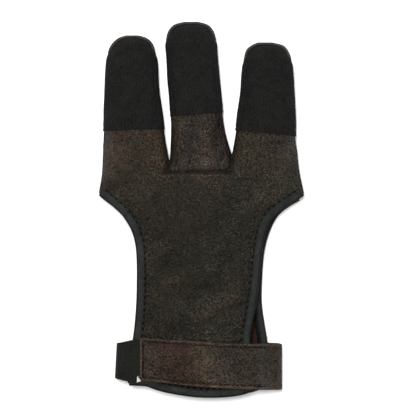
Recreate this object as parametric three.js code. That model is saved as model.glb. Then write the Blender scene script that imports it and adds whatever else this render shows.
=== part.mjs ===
// Three-finger archery glove lying palm down: two leather panels that are sewn together round the
// fingers and open at both sides and the wrist, black ribbed fingertip stalls, bound free edges,
// and a wrist strap of leather and elastic. Millimetres. +X points right, +Y towards the fingertips,
// +Z up, and the origin is on the surface, below the middle of the glove.
import * as THREE from "three";

// Hand
const HAND_WIDTH = 113; // between the two corners where the finger side seams end
const HAND_LENGTH = 111.6; // from those corners down to the lowest point of the hem
const CORNER_Y = 9.4; // height of those corners
const HAND_HEIGHT = 15; // top of the back of the hand
const WRIST_HEIGHT = 13.4; // top of the back panel under the strap
const HEM_SAG = 6.6; // how far the hem hangs below its left end
const LEATHER = 1.3; // thickness of the leather panels
const GAP = 0.3; // clearance between neighbouring pieces

// Fingers
const MIDDLE_CENTRE = -5.9; // middle finger's centre line
const FINGER_WIDTHS = { left: 28, middle: 27.5, right: 27 };
const FINGER_TIPS = { left: 95.9, middle: 103.4, right: 92 }; // height of each tip
const TIP_GAPS = { left: 4.9, right: 14.9 }; // free space beside the middle finger
const CROTCH_HEIGHTS = { left: 26.4, right: 30.2 };
const CROTCH_SHIFTS = { left: 1.9, right: 8.8 }; // crotch outside the middle finger's straight side
const ROOT_FLARES = { left: 2.2, right: 3.1 }; // outer fingers are wider by this at the root
const FINGER_HEIGHT = 12.5;
const SEAM_HEIGHT = 5.2; // seam between back and palm, above the surface
const TIP_ROUND = 11; // length over which a tip closes in height
const ARCH_RUN = 16; // length over which three finger arches become one broad arch
const VALLEY_RUN = 8; // the valley below a crotch grows shallow over this length
const NOTCH_DEPTH = 5.5; // middle finger's base seam below the left crotch
const NOTCH_SPREADS = { left: 2.4, right: 0.5 }; // the notch is wider than the finger root by this

// Stalls
const STALL_LENGTHS = {
  left: { left: 51.4, right: 50.3 },
  middle: { left: 50.9, right: 48.5 },
  right: { left: 47.2, right: 50.4 },
};
const STALL_WALL = 1.5;
const STALL_PROUD = 0.5; // stall stands out this far beyond the leather

// Free edges and their binding
const SEAM_END_DROP = 1.2; // side seam ends this far above the corner
const BACK_GAPE = 5.4; // back panel's free edge rises by this above the seam
const PALM_GAPE = 1.9; // palm panel's free edge falls by this below the seam
const GAPE_RUN = 11; // distance over which the free edges part
const BINDING_WIDTH = 4.8;
const BINDING_WALL = 0.7;
const BINDING_SLACK = 0.45; // clearance inside the folded binding

// Wrist strap
const STRAP_WIDTH = 24.6;
const STRAP_WALL = 1.6;
const TAB_INSET = 3.9; // free end of the strap's tab, inwards from the back panel's left edge
const TAB_CORNERS = { upper: { run: 1.2, rise: 1.2 }, lower: { run: 3.2, rise: 5 } };
const STRAP_REACH = 8.8; // outside of the fold on the right, beyond the palm panel's edge
const FOLD_HEIGHT = 10.6; // outer height of that fold
const FOLD_ROUND = 3.2; // a fold bulges sideways by this
const STRAP_RISE = 19.2; // centre line at the tab's end, above the lowest point of the hem
const STRAP_SLOPE = -0.043; // centre line falls towards the right
const STRAP_END_INSET = 8.2; // end of the strap behind the palm, inwards like the tab's
const LIFT_RUN = 24; // the palm panel rises onto the strap over this length
const LIFT_CLEAR = 2; // and is up this far before the strap's edge
const ELASTIC_WIDTH = 18.8;
const ELASTIC_FLARE = 4.2; // its sewn end on the back panel is wider by this
const ELASTIC_WALL = 1.2;
const ELASTIC_REACH = 9.2; // outside of the elastic's fold, beyond the panel's left edge
const ELASTIC_FOLD_HEIGHT = 12;
const ELASTIC_END = 2.5; // elastic's end, inwards from the back panel's left edge
const PATCH = { inset: 4, length: 30, width: 20.6, wall: 1 }; // fastener patch

// Sides of a finger from its root, up: 0, to its tip, up: 1. A flare of 1 is at the root's own point
// and 0 on the straight side. A tip share is what is left of the half width.
const SECTIONS = {
  left: [
    { up: 0, flareLeft: 1, flareRight: 1, tipLeft: 1, tipRight: 1 },
    { up: 0.19, flareLeft: 0.75, flareRight: 0.65, tipLeft: 1, tipRight: 1 },
    { up: 0.39, flareLeft: 0.5, flareRight: 0.38, tipLeft: 1, tipRight: 1 },
    { up: 0.61, flareLeft: 0.25, flareRight: 0.08, tipLeft: 1, tipRight: 1 },
    { up: 0.77, flareLeft: 0, flareRight: 0, tipLeft: 1, tipRight: 1 },
    { up: 0.85, flareLeft: 0, flareRight: 0, tipLeft: 0.95, tipRight: 0.94 },
    { up: 0.905, flareLeft: 0, flareRight: 0, tipLeft: 0.86, tipRight: 0.86 },
    { up: 0.955, flareLeft: 0, flareRight: 0, tipLeft: 0.67, tipRight: 0.72 },
    { up: 0.985, flareLeft: 0, flareRight: 0, tipLeft: 0.45, tipRight: 0.5 },
    { up: 1, flareLeft: 0, flareRight: 0, tipLeft: 0.2, tipRight: 0.22 },
  ],
  middle: [
    { up: 0, flareLeft: 1, flareRight: 1, tipLeft: 1, tipRight: 1 },
    { up: 0.17, flareLeft: 1.35, flareRight: 0.6, tipLeft: 1, tipRight: 1 },
    { up: 0.35, flareLeft: 1.35, flareRight: 0.38, tipLeft: 1, tipRight: 1 },
    { up: 0.6, flareLeft: 0.57, flareRight: 0.18, tipLeft: 1, tipRight: 1 },
    { up: 0.75, flareLeft: 0.29, flareRight: 0.06, tipLeft: 1, tipRight: 1 },
    { up: 0.864, flareLeft: 0, flareRight: 0, tipLeft: 1, tipRight: 1 },
    { up: 0.921, flareLeft: 0, flareRight: 0, tipLeft: 0.92, tipRight: 0.9 },
    { up: 0.957, flareLeft: 0, flareRight: 0, tipLeft: 0.8, tipRight: 0.78 },
    { up: 0.984, flareLeft: 0, flareRight: 0, tipLeft: 0.6, tipRight: 0.58 },
    { up: 1, flareLeft: 0, flareRight: 0, tipLeft: 0.24, tipRight: 0.24 },
  ],
  right: [
    { up: 0, flareLeft: 1, flareRight: 1, tipLeft: 1, tipRight: 1 },
    { up: 0.17, flareLeft: 0.7, flareRight: 0.6, tipLeft: 1, tipRight: 1 },
    { up: 0.37, flareLeft: 0.46, flareRight: 0.5, tipLeft: 1, tipRight: 1 },
    { up: 0.55, flareLeft: 0.2, flareRight: 0.35, tipLeft: 1, tipRight: 1 },
    { up: 0.7, flareLeft: 0.08, flareRight: 0.18, tipLeft: 1, tipRight: 1 },
    { up: 0.8, flareLeft: 0, flareRight: 0, tipLeft: 1, tipRight: 1 },
    { up: 0.875, flareLeft: 0, flareRight: 0, tipLeft: 0.93, tipRight: 0.93 },
    { up: 0.945, flareLeft: 0, flareRight: 0, tipLeft: 0.8, tipRight: 0.76 },
    { up: 0.98, flareLeft: 0, flareRight: 0, tipLeft: 0.58, tipRight: 0.56 },
    { up: 1, flareLeft: 0, flareRight: 0, tipLeft: 0.36, tipRight: 0.16 },
  ],
};

// Free edges below the corners: down is a share of the hand length, the rest are shares of the hand
// width from the middle of the glove.
const EDGES = [
  { down: 0, left: -0.5, backRight: 0.497, palmRight: 0.497 },
  { down: 0.02, left: -0.478, backRight: 0.473, palmRight: 0.486 },
  { down: 0.059, left: -0.427, backRight: 0.407, palmRight: 0.421 },
  { down: 0.098, left: -0.385, backRight: 0.356, palmRight: 0.373 },
  { down: 0.137, left: -0.357, backRight: 0.323, palmRight: 0.346 },
  { down: 0.176, left: -0.335, backRight: 0.305, palmRight: 0.328 },
  { down: 0.235, left: -0.316, backRight: 0.292, palmRight: 0.308 },
  { down: 0.314, left: -0.307, backRight: 0.281, palmRight: 0.293 },
  { down: 0.456, left: -0.306, backRight: 0.267, palmRight: 0.284 },
  { down: 0.549, left: -0.309, backRight: 0.255, palmRight: 0.284 },
  { down: 0.642, left: -0.316, backRight: 0.237, palmRight: 0.296 },
  { down: 0.725, left: -0.326, backRight: 0.228, palmRight: 0.309 },
  { down: 0.843, left: -0.34, backRight: 0.24, palmRight: 0.314 },
  { down: 0.946, left: -0.353, backRight: 0.265, palmRight: 0.314 },
];

// The hem's curve: how far it is above its lowest point, as a share of the sag
const HEM = [
  { across: 0, rise: 1 },
  { across: 0.1, rise: 0.98 },
  { across: 0.15, rise: 0.9 },
  { across: 0.2, rise: 0.7 },
  { across: 0.26, rise: 0.51 },
  { across: 0.33, rise: 0.35 },
  { across: 0.42, rise: 0.18 },
  { across: 0.52, rise: 0.05 },
  { across: 0.62, rise: 0 },
  { across: 0.72, rise: 0.02 },
  { across: 0.8, rise: 0.08 },
  { across: 0.89, rise: 0.24 },
  { across: 0.95, rise: 0.45 },
  { across: 1, rise: 0.7 },
];

// Soft folds in the back of the hand: place, length and width are shares of the hand width, turn is
// in degrees from +X, and rise is a share of the hand height.
const FOLDS = [
  { x: 0.1, y: -0.02, turn: 62, length: 0.17, width: 0.05, rise: -0.05 },
  { x: -0.2, y: -0.08, turn: 35, length: 0.15, width: 0.06, rise: -0.035 },
  { x: 0.14, y: -0.27, turn: 48, length: 0.16, width: 0.05, rise: -0.05 },
  { x: 0.02, y: -0.36, turn: 56, length: 0.2, width: 0.055, rise: 0.035 },
  { x: -0.12, y: -0.42, turn: 40, length: 0.16, width: 0.06, rise: -0.04 },
  { x: 0.13, y: -0.5, turn: 20, length: 0.12, width: 0.045, rise: -0.035 },
];

// Shape exponents
const FINGER_ARCH = 2.3; // roundness of a finger's back
const HAND_ARCH = 2.2; // roundness of the broad arch
const VALLEY_FILL = 0.25; // share of the half width that the valley loses
const PALM_FLAT = 1.18; // a finger's underside is flat where its round arch passes 1 / this
const PALM_CURL = 0.62; // the hand's underside curls up beyond this share of its half width
const HEM_BEND = 3; // rows of the hand bend into the hem's curve over this power

// Mesh steps
const ACROSS_FINGER = 8;
const HAND_ROWS = 24;
const ROW_BIAS = 0.45; // rows of the hand are closer together near the corners
const BINDING_STEPS = 20;
const HEM_STEPS = 24;

const clamp = (value, low = 0, high = 1) => Math.min(Math.max(value, low), high);
const mix = (a, b, t) => a + (b - a) * t;
const smooth = (t) => clamp(t) ** 2 * (3 - 2 * clamp(t));
const spaced = (count, bend = (t) => t) => Array.from({ length: count + 1 }, (_, i) => bend(i / count));
const around = (t) => -Math.cos(Math.PI * t); // -1 to 1, closer together towards both ends

// Smooth curve through one column of a table
function read(table, key, at, name) {
  const last = table.length - 1;
  let i = 0;
  while (i < last - 1 && at > table[i + 1][key]) i++;
  const slope = (j) => {
    const a = table[Math.max(j - 1, 0)];
    const b = table[Math.min(j + 1, last)];
    return (b[name] - a[name]) / (b[key] - a[key]);
  };
  const span = table[i + 1][key] - table[i][key];
  const t = clamp((at - table[i][key]) / span);
  const [a, b] = [table[i][name], table[i + 1][name]];
  const [ta, tb] = [slope(i) * span, slope(i + 1) * span];
  return (2 * a - 2 * b + ta + tb) * t ** 3 + (3 * b - 3 * a - 2 * ta - tb) * t ** 2 + ta * t + a;
}

// Places that several pieces share
const half = (name) => FINGER_WIDTHS[name] / 2;
const middleLeft = MIDDLE_CENTRE - half("middle");
const middleRight = MIDDLE_CENTRE + half("middle");
const leftCentre = middleLeft - TIP_GAPS.left - half("left");
const rightCentre = middleRight + TIP_GAPS.right + half("right");
const crotchLeft = { x: middleLeft + CROTCH_SHIFTS.left, y: CROTCH_HEIGHTS.left };
const crotchRight = { x: middleRight + CROTCH_SHIFTS.right, y: CROTCH_HEIGHTS.right };
const rootLeft = { x: leftCentre - half("left") - ROOT_FLARES.left, y: CROTCH_HEIGHTS.left };
const rootRight = { x: rightCentre + half("right") + ROOT_FLARES.right, y: CROTCH_HEIGHTS.right };
const notchY = CROTCH_HEIGHTS.left - NOTCH_DEPTH;
const seamEndY = CORNER_Y + SEAM_END_DROP;
const hemY = CORNER_Y - HAND_LENGTH;
const FINGERS = {
  left: { name: "left", centre: leftCentre, roots: { left: rootLeft, right: crotchLeft } },
  middle: { name: "middle", centre: MIDDLE_CENTRE, roots: { left: crotchLeft, right: crotchRight } },
  right: { name: "right", centre: rightCentre, roots: { left: crotchRight, right: rootRight } },
};

// x of a finger's left or right side at height y, above its root
function fingerSide(finger, side, y) {
  const root = finger.roots[side];
  const up = (y - root.y) / (FINGER_TIPS[finger.name] - root.y);
  const suffix = side === "left" ? "Left" : "Right";
  const reach = half(finger.name) * (side === "left" ? -1 : 1);
  const flare = read(SECTIONS[finger.name], "up", up, "flare" + suffix);
  const tip = read(SECTIONS[finger.name], "up", up, "tip" + suffix);
  return finger.centre + reach * tip + (root.x - finger.centre - reach) * flare;
}

// x of a panel's left or right edge at height y, below the finger roots
function handEdge(panel, side, y) {
  const root = side === "left" ? rootLeft : rootRight;
  const name = side === "left" ? "left" : panel + "Right";
  if (y > CORNER_Y) {
    const corner = HAND_WIDTH * EDGES[0][name];
    return mix(root.x, corner, clamp((root.y - y) / (root.y - CORNER_Y)) ** 1.5);
  }
  return HAND_WIDTH * read(EDGES, "down", (CORNER_Y - y) / HAND_LENGTH, name);
}

// Side of the notch in the back panel that holds the middle finger's leather
function notchSide(side, y) {
  const crotch = side === "left" ? crotchLeft : crotchRight;
  const spread = side === "left" ? -NOTCH_SPREADS.left : -NOTCH_SPREADS.right;
  return crotch.x + spread * clamp((crotch.y - y) / (crotch.y - notchY));
}

// Lowest edge of a panel at a share of its width
function hemAt(share) {
  return hemY + HEM_SAG * read(HEM, "across", share, "rise");
}

// Ends and folds of the strap and the elastic, from the panels' edges at their height
const strapHeight = hemY + STRAP_RISE;
const panelLeft = handEdge("back", "left", strapHeight);
const tabEnd = panelLeft + TAB_INSET;
const strapEnd = panelLeft + STRAP_END_INSET;
const strapFold = handEdge("palm", "right", strapHeight) + STRAP_REACH;
const elasticFold = panelLeft - ELASTIC_REACH;

// Soft folds at a place
function folds(x, y) {
  return FOLDS.reduce((sum, fold) => {
    const turn = THREE.MathUtils.degToRad(fold.turn);
    const [dx, dy] = [x / HAND_WIDTH - fold.x, y / HAND_WIDTH - fold.y];
    const along = (dx * Math.cos(turn) + dy * Math.sin(turn)) / fold.length;
    const across = (dy * Math.cos(turn) - dx * Math.sin(turn)) / fold.width;
    return sum + fold.rise * HAND_HEIGHT * Math.exp(-(along ** 2) - across ** 2);
  }, 0);
}

// What both panels share at a place: how far the fingers have merged, how far the free edges have
// parted, the finger's own arch, and the share across the whole hand
function situation(panel, finger, u, x, y) {
  const [a, b] = [finger.roots.left.y, finger.roots.right.y];
  const crotchY = mix(a, b, (1 + u) / 2);
  const merged = smooth((crotchY - y) / ARCH_RUN);
  const low = Math.min(y, crotchY);
  const left = handEdge(panel, "left", low);
  const right = handEdge(panel, "right", low);
  const across = clamp((2 * (x - left)) / (right - left) - 1, -1, 1);
  const parted = 1 - Math.exp(-Math.max(0, seamEndY - y) / GAPE_RUN);
  const tip = clamp((y - FINGER_TIPS[finger.name] + TIP_ROUND) / TIP_ROUND);
  const seam = finger.name === (u < 0 ? "left" : "right");
  const fill = seam ? 0 : VALLEY_FILL * smooth((crotchY - y) / VALLEY_RUN);
  const round = (1 - Math.abs(u * (1 - fill)) ** FINGER_ARCH) ** (1 / FINGER_ARCH);
  const arch = round * Math.sqrt(1 - tip ** 2);
  const side = mix(across, u, smooth((y - crotchY) / LEATHER / 4));
  return { merged, across, parted, tip, arch, side };
}

// Upper and lower points of the back of the glove: u runs from -1 to 1 across the finger
function backPoint(finger, u, x, y, wall = LEATHER, proud = 0) {
  const { merged, across, parted, tip, arch, side } = situation("back", finger, u, x, y);
  const body = mix(arch, 1 - Math.abs(across) ** HAND_ARCH, merged);
  const wrist = smooth((CORNER_Y - y) / (HAND_LENGTH * 0.75));
  const top = mix(FINGER_HEIGHT + proud, mix(HAND_HEIGHT, WRIST_HEIGHT, wrist), merged);
  const inner = SEAM_HEIGHT + GAP / 2 + BACK_GAPE * parted;
  const outer = inner + wall * merged;
  const fold = folds(x, y) * merged * body;
  const slip = wall * (1 - merged) * side;
  const [outX, outY] = [x + proud * u, y + proud * tip];
  return {
    upper: [outX, outY, outer + (top - outer) * body + fold],
    lower: [outX - slip, outY - wall * tip, inner + (top - wall - inner) * body + fold],
  };
}

// How far the palm panel is lifted by the strap behind it
function palmLift(y) {
  const strapTop = strapHeight + STRAP_WIDTH / 2;
  return smooth((strapTop + LIFT_RUN + LIFT_CLEAR - y) / LIFT_RUN) * (STRAP_WALL + GAP);
}

// Upper and lower points of the palm panel
function palmPoint(finger, u, x, y) {
  const { merged, across, parted, tip, arch, side } = situation("palm", finger, u, x, y);
  const curl = clamp((Math.abs(across) - PALM_CURL) / (1 - PALM_CURL));
  const body = mix(Math.min(1, PALM_FLAT * arch), 1 - curl ** 2, merged);
  const inner = SEAM_HEIGHT - GAP / 2 - PALM_GAPE * parted;
  const outer = inner - LEATHER * merged;
  const slip = LEATHER * (1 - merged);
  const lift = palmLift(y);
  return {
    upper: [x - slip * side, y - LEATHER * tip, inner + (LEATHER - inner) * body + lift],
    lower: [x, y, outer * (1 - body) + lift],
  };
}

// Top of the back panel at a place below the merged fingers
function backTop(x, y) {
  return backPoint(FINGERS.middle, 0, x, y).upper[2];
}

// A closed solid from patches of paired points. A patch has column and row shares and gives an upper
// and a lower point for each. Patches meet where their points agree, and the rest is closed by rims.
function solid(patches) {
  const ids = new Map();
  const pairs = [];
  const faces = [];
  const vertex = (pair) => {
    const key = pair.upper.concat(pair.lower).map((v) => v.toFixed(4)).join();
    if (!ids.has(key)) {
      ids.set(key, pairs.length);
      pairs.push(pair);
    }
    return ids.get(key);
  };
  for (const { columns, rows, at } of patches) {
    const grid = rows.map((v) => columns.map((u) => vertex(at(u, v))));
    for (let j = 0; j < rows.length - 1; j++) {
      for (let i = 0; i < columns.length - 1; i++) {
        const [a, b, c, d] = [grid[j][i], grid[j][i + 1], grid[j + 1][i + 1], grid[j + 1][i]];
        faces.push([a, b, c], [a, c, d]);
      }
    }
  }
  const used = new Set(faces.flatMap(([a, b, c]) => [a + " " + b, b + " " + c, c + " " + a]));
  const count = pairs.length;
  const rims = [];
  for (const edge of used) {
    const [a, b] = edge.split(" ").map(Number);
    if (!used.has(b + " " + a)) rims.push([b, a, a + count], [b, a + count, b + count]);
  }
  const below = faces.map(([a, b, c]) => [c + count, b + count, a + count]);
  const points = [...pairs.map((pair) => pair.upper), ...pairs.map((pair) => pair.lower)];
  return geometry(points, [...faces, ...below, ...rims]);
}

function geometry(points, faces) {
  const result = new THREE.BufferGeometry();
  result.setAttribute("position", new THREE.Float32BufferAttribute(points.flat(), 3));
  result.setIndex(faces.flat());
  result.computeVertexNormals();
  return result;
}

// A closed solid swept along frames: each frame has an origin and two directions, and the outline is
// a list of places in them
function sweep(frames, outline) {
  const points = frames.flatMap(({ origin, inward, up }) =>
    outline.map(([d, h]) => origin.clone().addScaledVector(inward, d).addScaledVector(up, h).toArray()),
  );
  const n = outline.length;
  const faces = [];
  for (let j = 0; j < frames.length - 1; j++) {
    for (let i = 0; i < n; i++) {
      const [a, b] = [j * n + i, j * n + ((i + 1) % n)];
      faces.push([a, b, b + n], [a, b + n, a + n]);
    }
  }
  const cap = THREE.ShapeUtils.triangulateShape(outline.map(([d, h]) => new THREE.Vector2(d, h)), []);
  const last = (frames.length - 1) * n;
  faces.push(...cap.map(([a, b, c]) => [c, b, a]));
  faces.push(...cap.map(([a, b, c]) => [a + last, b + last, c + last]));
  return geometry(points, faces);
}

// Patch over one finger, between a lower and an upper line of heights
function fingerPatch(finger, point, bottom, top, sides, rows) {
  return {
    columns: spaced(ACROSS_FINGER, around),
    rows,
    at: (u, v) => {
      const [left, right] = [mix(bottom.left, top.left, v), mix(bottom.right, top.right, v)];
      const share = (1 + u) / 2;
      const x = mix(sides("left", left), sides("right", right), share);
      return point(finger, u, x, mix(left, right, share));
    },
  };
}

// Patch over the hand: its top row runs through the given points of the three fingers, left to right
function handPatch(panel, point, topLine) {
  const steps = ["left", "middle", "right"].flatMap((name) =>
    spaced(ACROSS_FINGER, around).slice(name === "left" ? 0 : 1).map((u) => ({ finger: FINGERS[name], u })),
  );
  const line = steps.map(({ finger, u }) => topLine(finger, (1 + u) / 2));
  const [first, last] = [line[0], line[line.length - 1]];
  return {
    columns: steps.map((_, i) => i),
    rows: spaced(HAND_ROWS, (t) => t * mix(ROW_BIAS, 1, t)).reverse(),
    at: (i, v) => {
      const share = (line[i].x - first.x) / (last.x - first.x);
      const ends = [mix(first.y, hemAt(0), v), mix(last.y, hemAt(1), v)];
      const level = mix(line[i].y, mix(hemAt(0), hemAt(1), share), v);
      const sag = (hemAt(share) - mix(hemAt(0), hemAt(1), share)) * v ** HEM_BEND;
      const sides = [handEdge(panel, "left", ends[0]), handEdge(panel, "right", ends[1])];
      const x = v === 0 ? line[i].x : mix(sides[0], sides[1], share);
      return point(steps[i].finger, steps[i].u, x, level + sag);
    },
  };
}

const stallBottom = ({ name }) => ({
  left: FINGER_TIPS[name] - STALL_LENGTHS[name].left,
  right: FINGER_TIPS[name] - STALL_LENGTHS[name].right,
});
const shifted = ({ left, right }, by) => ({ left: left + by, right: right + by });
const level = (y) => ({ left: y, right: y });
const toTip = (t) => Math.sin((t * Math.PI) / 2); // rows closer together towards a tip

function palmPanel() {
  const rootLine = (finger, share) => {
    const [a, b] = [finger.roots.left, finger.roots.right];
    return { x: mix(a.x, b.x, share), y: mix(a.y, b.y, share) };
  };
  const fingers = Object.values(FINGERS).map((finger) =>
    fingerPatch(
      finger,
      palmPoint,
      { left: finger.roots.left.y, right: finger.roots.right.y },
      level(FINGER_TIPS[finger.name]),
      (side, y) => fingerSide(finger, side, y),
      spaced(14, toTip),
    ),
  );
  return solid([handPatch("palm", palmPoint, rootLine), ...fingers]);
}

// Side of an outer finger on the back panel, from its stall down past its root to the notch
function backSide(finger, side, y) {
  if (y >= finger.roots[side].y) return fingerSide(finger, side, y);
  const outside = finger.name === side;
  return outside ? handEdge("back", side, y) : notchSide(finger.name, y);
}

function backPanel() {
  const outer = [FINGERS.left, FINGERS.right];
  const patches = outer.map((finger) =>
    fingerPatch(
      finger,
      backPoint,
      level(notchY),
      shifted(stallBottom(finger), -GAP),
      (side, y) => backSide(finger, side, y),
      spaced(7),
    ),
  );
  const notchLine = (finger, share) => {
    const side = finger.name === "middle" ? notchSide : (name, y) => backSide(finger, name, y);
    return { x: mix(side("left", notchY), side("right", notchY), share), y: notchY };
  };
  return solid([handPatch("back", backPoint, notchLine), ...patches]);
}

function middleFingerBack() {
  const finger = FINGERS.middle;
  const side = (name, y) => {
    const root = finger.roots[name];
    const inset = (name === "left" ? GAP : -GAP) * (1 - smooth((y - root.y) / 10));
    return (y < root.y ? notchSide(name, y) : fingerSide(finger, name, y)) + inset;
  };
  return solid([
    fingerPatch(finger, backPoint, level(notchY + GAP), shifted(stallBottom(finger), -GAP), side, spaced(8)),
  ]);
}

function stall(finger) {
  const point = (...place) => backPoint(...place, STALL_WALL, STALL_PROUD);
  const side = (name, y) => fingerSide(finger, name, y);
  const top = level(FINGER_TIPS[finger.name]);
  return solid([fingerPatch(finger, point, stallBottom(finger), top, side, spaced(10, toTip))]);
}

// Folded tape round a panel's edge: places along the edge, each with the direction into the panel
function binding(places, point) {
  const middle = (x, y) => {
    const { upper, lower } = point(FINGERS.middle, 0, x, y);
    return new THREE.Vector3(x, y, (upper[2] + lower[2]) / 2);
  };
  const nose = BINDING_SLACK + BINDING_WALL;
  const inside = BINDING_WIDTH - nose;
  const [slot, face] = [LEATHER / 2 + BINDING_SLACK, LEATHER / 2 + BINDING_SLACK + BINDING_WALL];
  const frames = places.map(({ x, y }, i) => {
    const before = places[Math.max(i - 1, 0)];
    const after = places[Math.min(i + 1, places.length - 1)];
    const along = new THREE.Vector2(after.x - before.x, after.y - before.y).normalize();
    const origin = middle(x, y);
    const inward = middle(x - along.y * inside, y + along.x * inside).sub(origin).normalize();
    const forward = new THREE.Vector3(along.x, along.y, 0);
    return { origin, inward, up: forward.cross(inward).normalize() };
  });
  const round = BINDING_WALL * 0.8;
  return sweep(frames, [
    [inside, face],
    [inside, slot],
    [-BINDING_SLACK, slot],
    [-BINDING_SLACK, -slot],
    [inside, -slot],
    [inside, -face],
    [round - nose, -face],
    [-nose, round - face],
    [-nose, face - round],
    [round - nose, face],
  ].reverse());
}

// Places down a side edge, from below the corner to above the hem, in the order that keeps the
// panel on the left of the path
function sidePlaces(panel, side, start, end) {
  const heights = spaced(BINDING_STEPS, (t) => t ** 1.3).map((t) => mix(start, end, t));
  const places = heights.map((y) => ({ x: handEdge(panel, side, y), y }));
  return side === "left" ? places : places.reverse();
}

function hemPlaces(panel) {
  const [left, right] = [handEdge(panel, "left", hemAt(0)), handEdge(panel, "right", hemAt(1))];
  return spaced(HEM_STEPS).map((share) => ({ x: mix(left, right, share), y: hemAt(share) }));
}

// Strap: its line runs from the tab's end over the back, round the fold, and on behind the palm
const strapY = (x) => strapHeight + STRAP_SLOPE * (x - tabEnd);

// How far the pieces under the tab lift it at a place, above the back panel's leather
function coverOf(x, y) {
  const [left, right] = ["left", "right"].map((side) => handEdge("back", side, y));
  const hem = hemAt(clamp((x - left) / (right - left)));
  return (GAP + BINDING_WALL) * smooth((hem + BINDING_WIDTH + 3.5 - y) / 4);
}

function strapUnder(x, y) {
  const edge = handEdge("back", "right", y);
  const onPanel = backTop(Math.min(x, edge), y) + coverOf(x, y) + 2 * GAP + PATCH.wall;
  const foldStart = strapFold - FOLD_ROUND;
  const clear = edge + GAP + BINDING_WALL;
  return mix(onPanel, FOLD_HEIGHT - STRAP_WALL, smooth((x - clear) / (foldStart - clear)));
}

// A ribbon's stations: the stretch on top, the fold, and the stretch on the surface, each giving the
// upper and lower point of the ribbon at a share across its width
function ribbon({ top, underAt, fold, foldHeight, wall, end, centre, width, flare = 0, corners }) {
  const direction = Math.sign(fold - top[0]);
  const foldStart = fold - direction * FOLD_ROUND;
  const place = (x, share) => centre(x) + (share - 0.5) * width;
  const cut = ({ run, rise }, gone) => rise * (1 - Math.sqrt(1 - clamp(1 - gone / run) ** 2));
  const stations = top.map((x) => (share) => {
    const gone = Math.abs(x - top[0]);
    const reach = (width + flare * (1 - gone / Math.abs(foldStart - top[0]))) / 2;
    const low = centre(x) - reach + (corners ? cut(corners.lower, gone) : 0);
    const high = centre(x) + reach - (corners ? cut(corners.upper, gone) : 0);
    const y = mix(low, high, share);
    const under = underAt(x, y);
    return { upper: [x, y, under + wall], lower: [x, y, under] };
  });
  for (const angle of spaced(8).slice(1, -1).map((t) => t * Math.PI)) {
    stations.push((share) => {
      const at = (inset) => {
        const x = foldStart + direction * (FOLD_ROUND - inset) * Math.sin(angle);
        return [x, place(x, share), foldHeight / 2 + (foldHeight / 2 - inset) * Math.cos(angle)];
      };
      return { upper: at(0), lower: at(wall) };
    });
  }
  for (const x of spaced(8).map((t) => mix(foldStart, end, t))) {
    stations.push((share) => ({ upper: [x, place(x, share), 0], lower: [x, place(x, share), wall] }));
  }
  const at = (u, v) => stations[v](direction > 0 ? u : 1 - u);
  return { stations, at };
}

function strap() {
  const rounded = [0, 0.04, 0.15, 0.37, 0.65, 1].map((t) => tabEnd + t * TAB_CORNERS.lower.run);
  const onTop = spaced(18).slice(1).map((t) => mix(rounded[5], strapFold - FOLD_ROUND, t));
  const { stations, at } = ribbon({
    top: [...rounded, ...onTop],
    underAt: strapUnder,
    fold: strapFold,
    foldHeight: FOLD_HEIGHT,
    wall: STRAP_WALL,
    end: strapEnd,
    centre: strapY,
    width: STRAP_WIDTH,
    corners: TAB_CORNERS,
  });
  // the path runs along +X first, so shares across and stations along make a patch seen from above
  const rows = [0, 0.04, 0.08, 0.12, 0.16, 0.2, 0.25, 0.3, 0.4, 0.6, 0.8, 1];
  return solid([{ columns: stations.map((_, i) => i), rows, at: (i, share) => at(share, i) }]);
}

function elasticBand() {
  const foldStart = elasticFold + FOLD_ROUND;
  const under = (x, y) => {
    const edge = handEdge("back", "left", y);
    const onPanel = backTop(Math.max(x, edge), y) + 2 * GAP + BINDING_WALL;
    const clear = edge - GAP - BINDING_WALL;
    return mix(onPanel, ELASTIC_FOLD_HEIGHT - ELASTIC_WALL, smooth((clear - x) / (clear - foldStart)));
  };
  const { stations, at } = ribbon({
    top: spaced(8).map((t) => mix(panelLeft + ELASTIC_END, foldStart, t)),
    underAt: under,
    fold: elasticFold,
    foldHeight: ELASTIC_FOLD_HEIGHT,
    wall: ELASTIC_WALL,
    end: strapEnd - GAP,
    centre: () => strapHeight,
    width: ELASTIC_WIDTH,
    flare: ELASTIC_FLARE,
  });
  return solid([{ columns: stations.map((_, i) => i), rows: spaced(3), at: (i, share) => at(share, i) }]);
}

function fastenerPatch() {
  const at = (u, v) => {
    const middle = strapHeight + (v - 0.5) * PATCH.width;
    const x = handEdge("back", "left", middle) + PATCH.inset + u * PATCH.length;
    const y = strapY(x) + (v - 0.5) * PATCH.width;
    const under = backTop(x, y) + GAP + coverOf(x, y);
    return { upper: [x, y, under + PATCH.wall], lower: [x, y, under] };
  };
  return solid([{ columns: spaced(16), rows: [0, 0.05, 0.1, 0.15, 0.2, 0.25, 0.3, 0.4, 0.6, 0.8, 1], at }]);
}

// Materials
const leather = { color: 0x30281f, roughness: 0.62, metalness: 0 };
const strapLeather = { color: 0x3c3027, roughness: 0.58, metalness: 0 };
const stallFabric = { color: 0x1c1b1a, roughness: 0.95, metalness: 0 };
const tape = { color: 0x262624, roughness: 0.5, metalness: 0 };
const elastic = { color: 0x232426, roughness: 0.85, metalness: 0 };
const hookAndLoop = { color: 0xd2d0c2, roughness: 0.9, metalness: 0 };

const glove = new THREE.Group();
const content = new THREE.Group();
glove.add(content);

function add(name, shape, finish) {
  const mesh = new THREE.Mesh(shape, new THREE.MeshStandardMaterial(finish));
  mesh.name = name;
  content.add(mesh);
}

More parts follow.
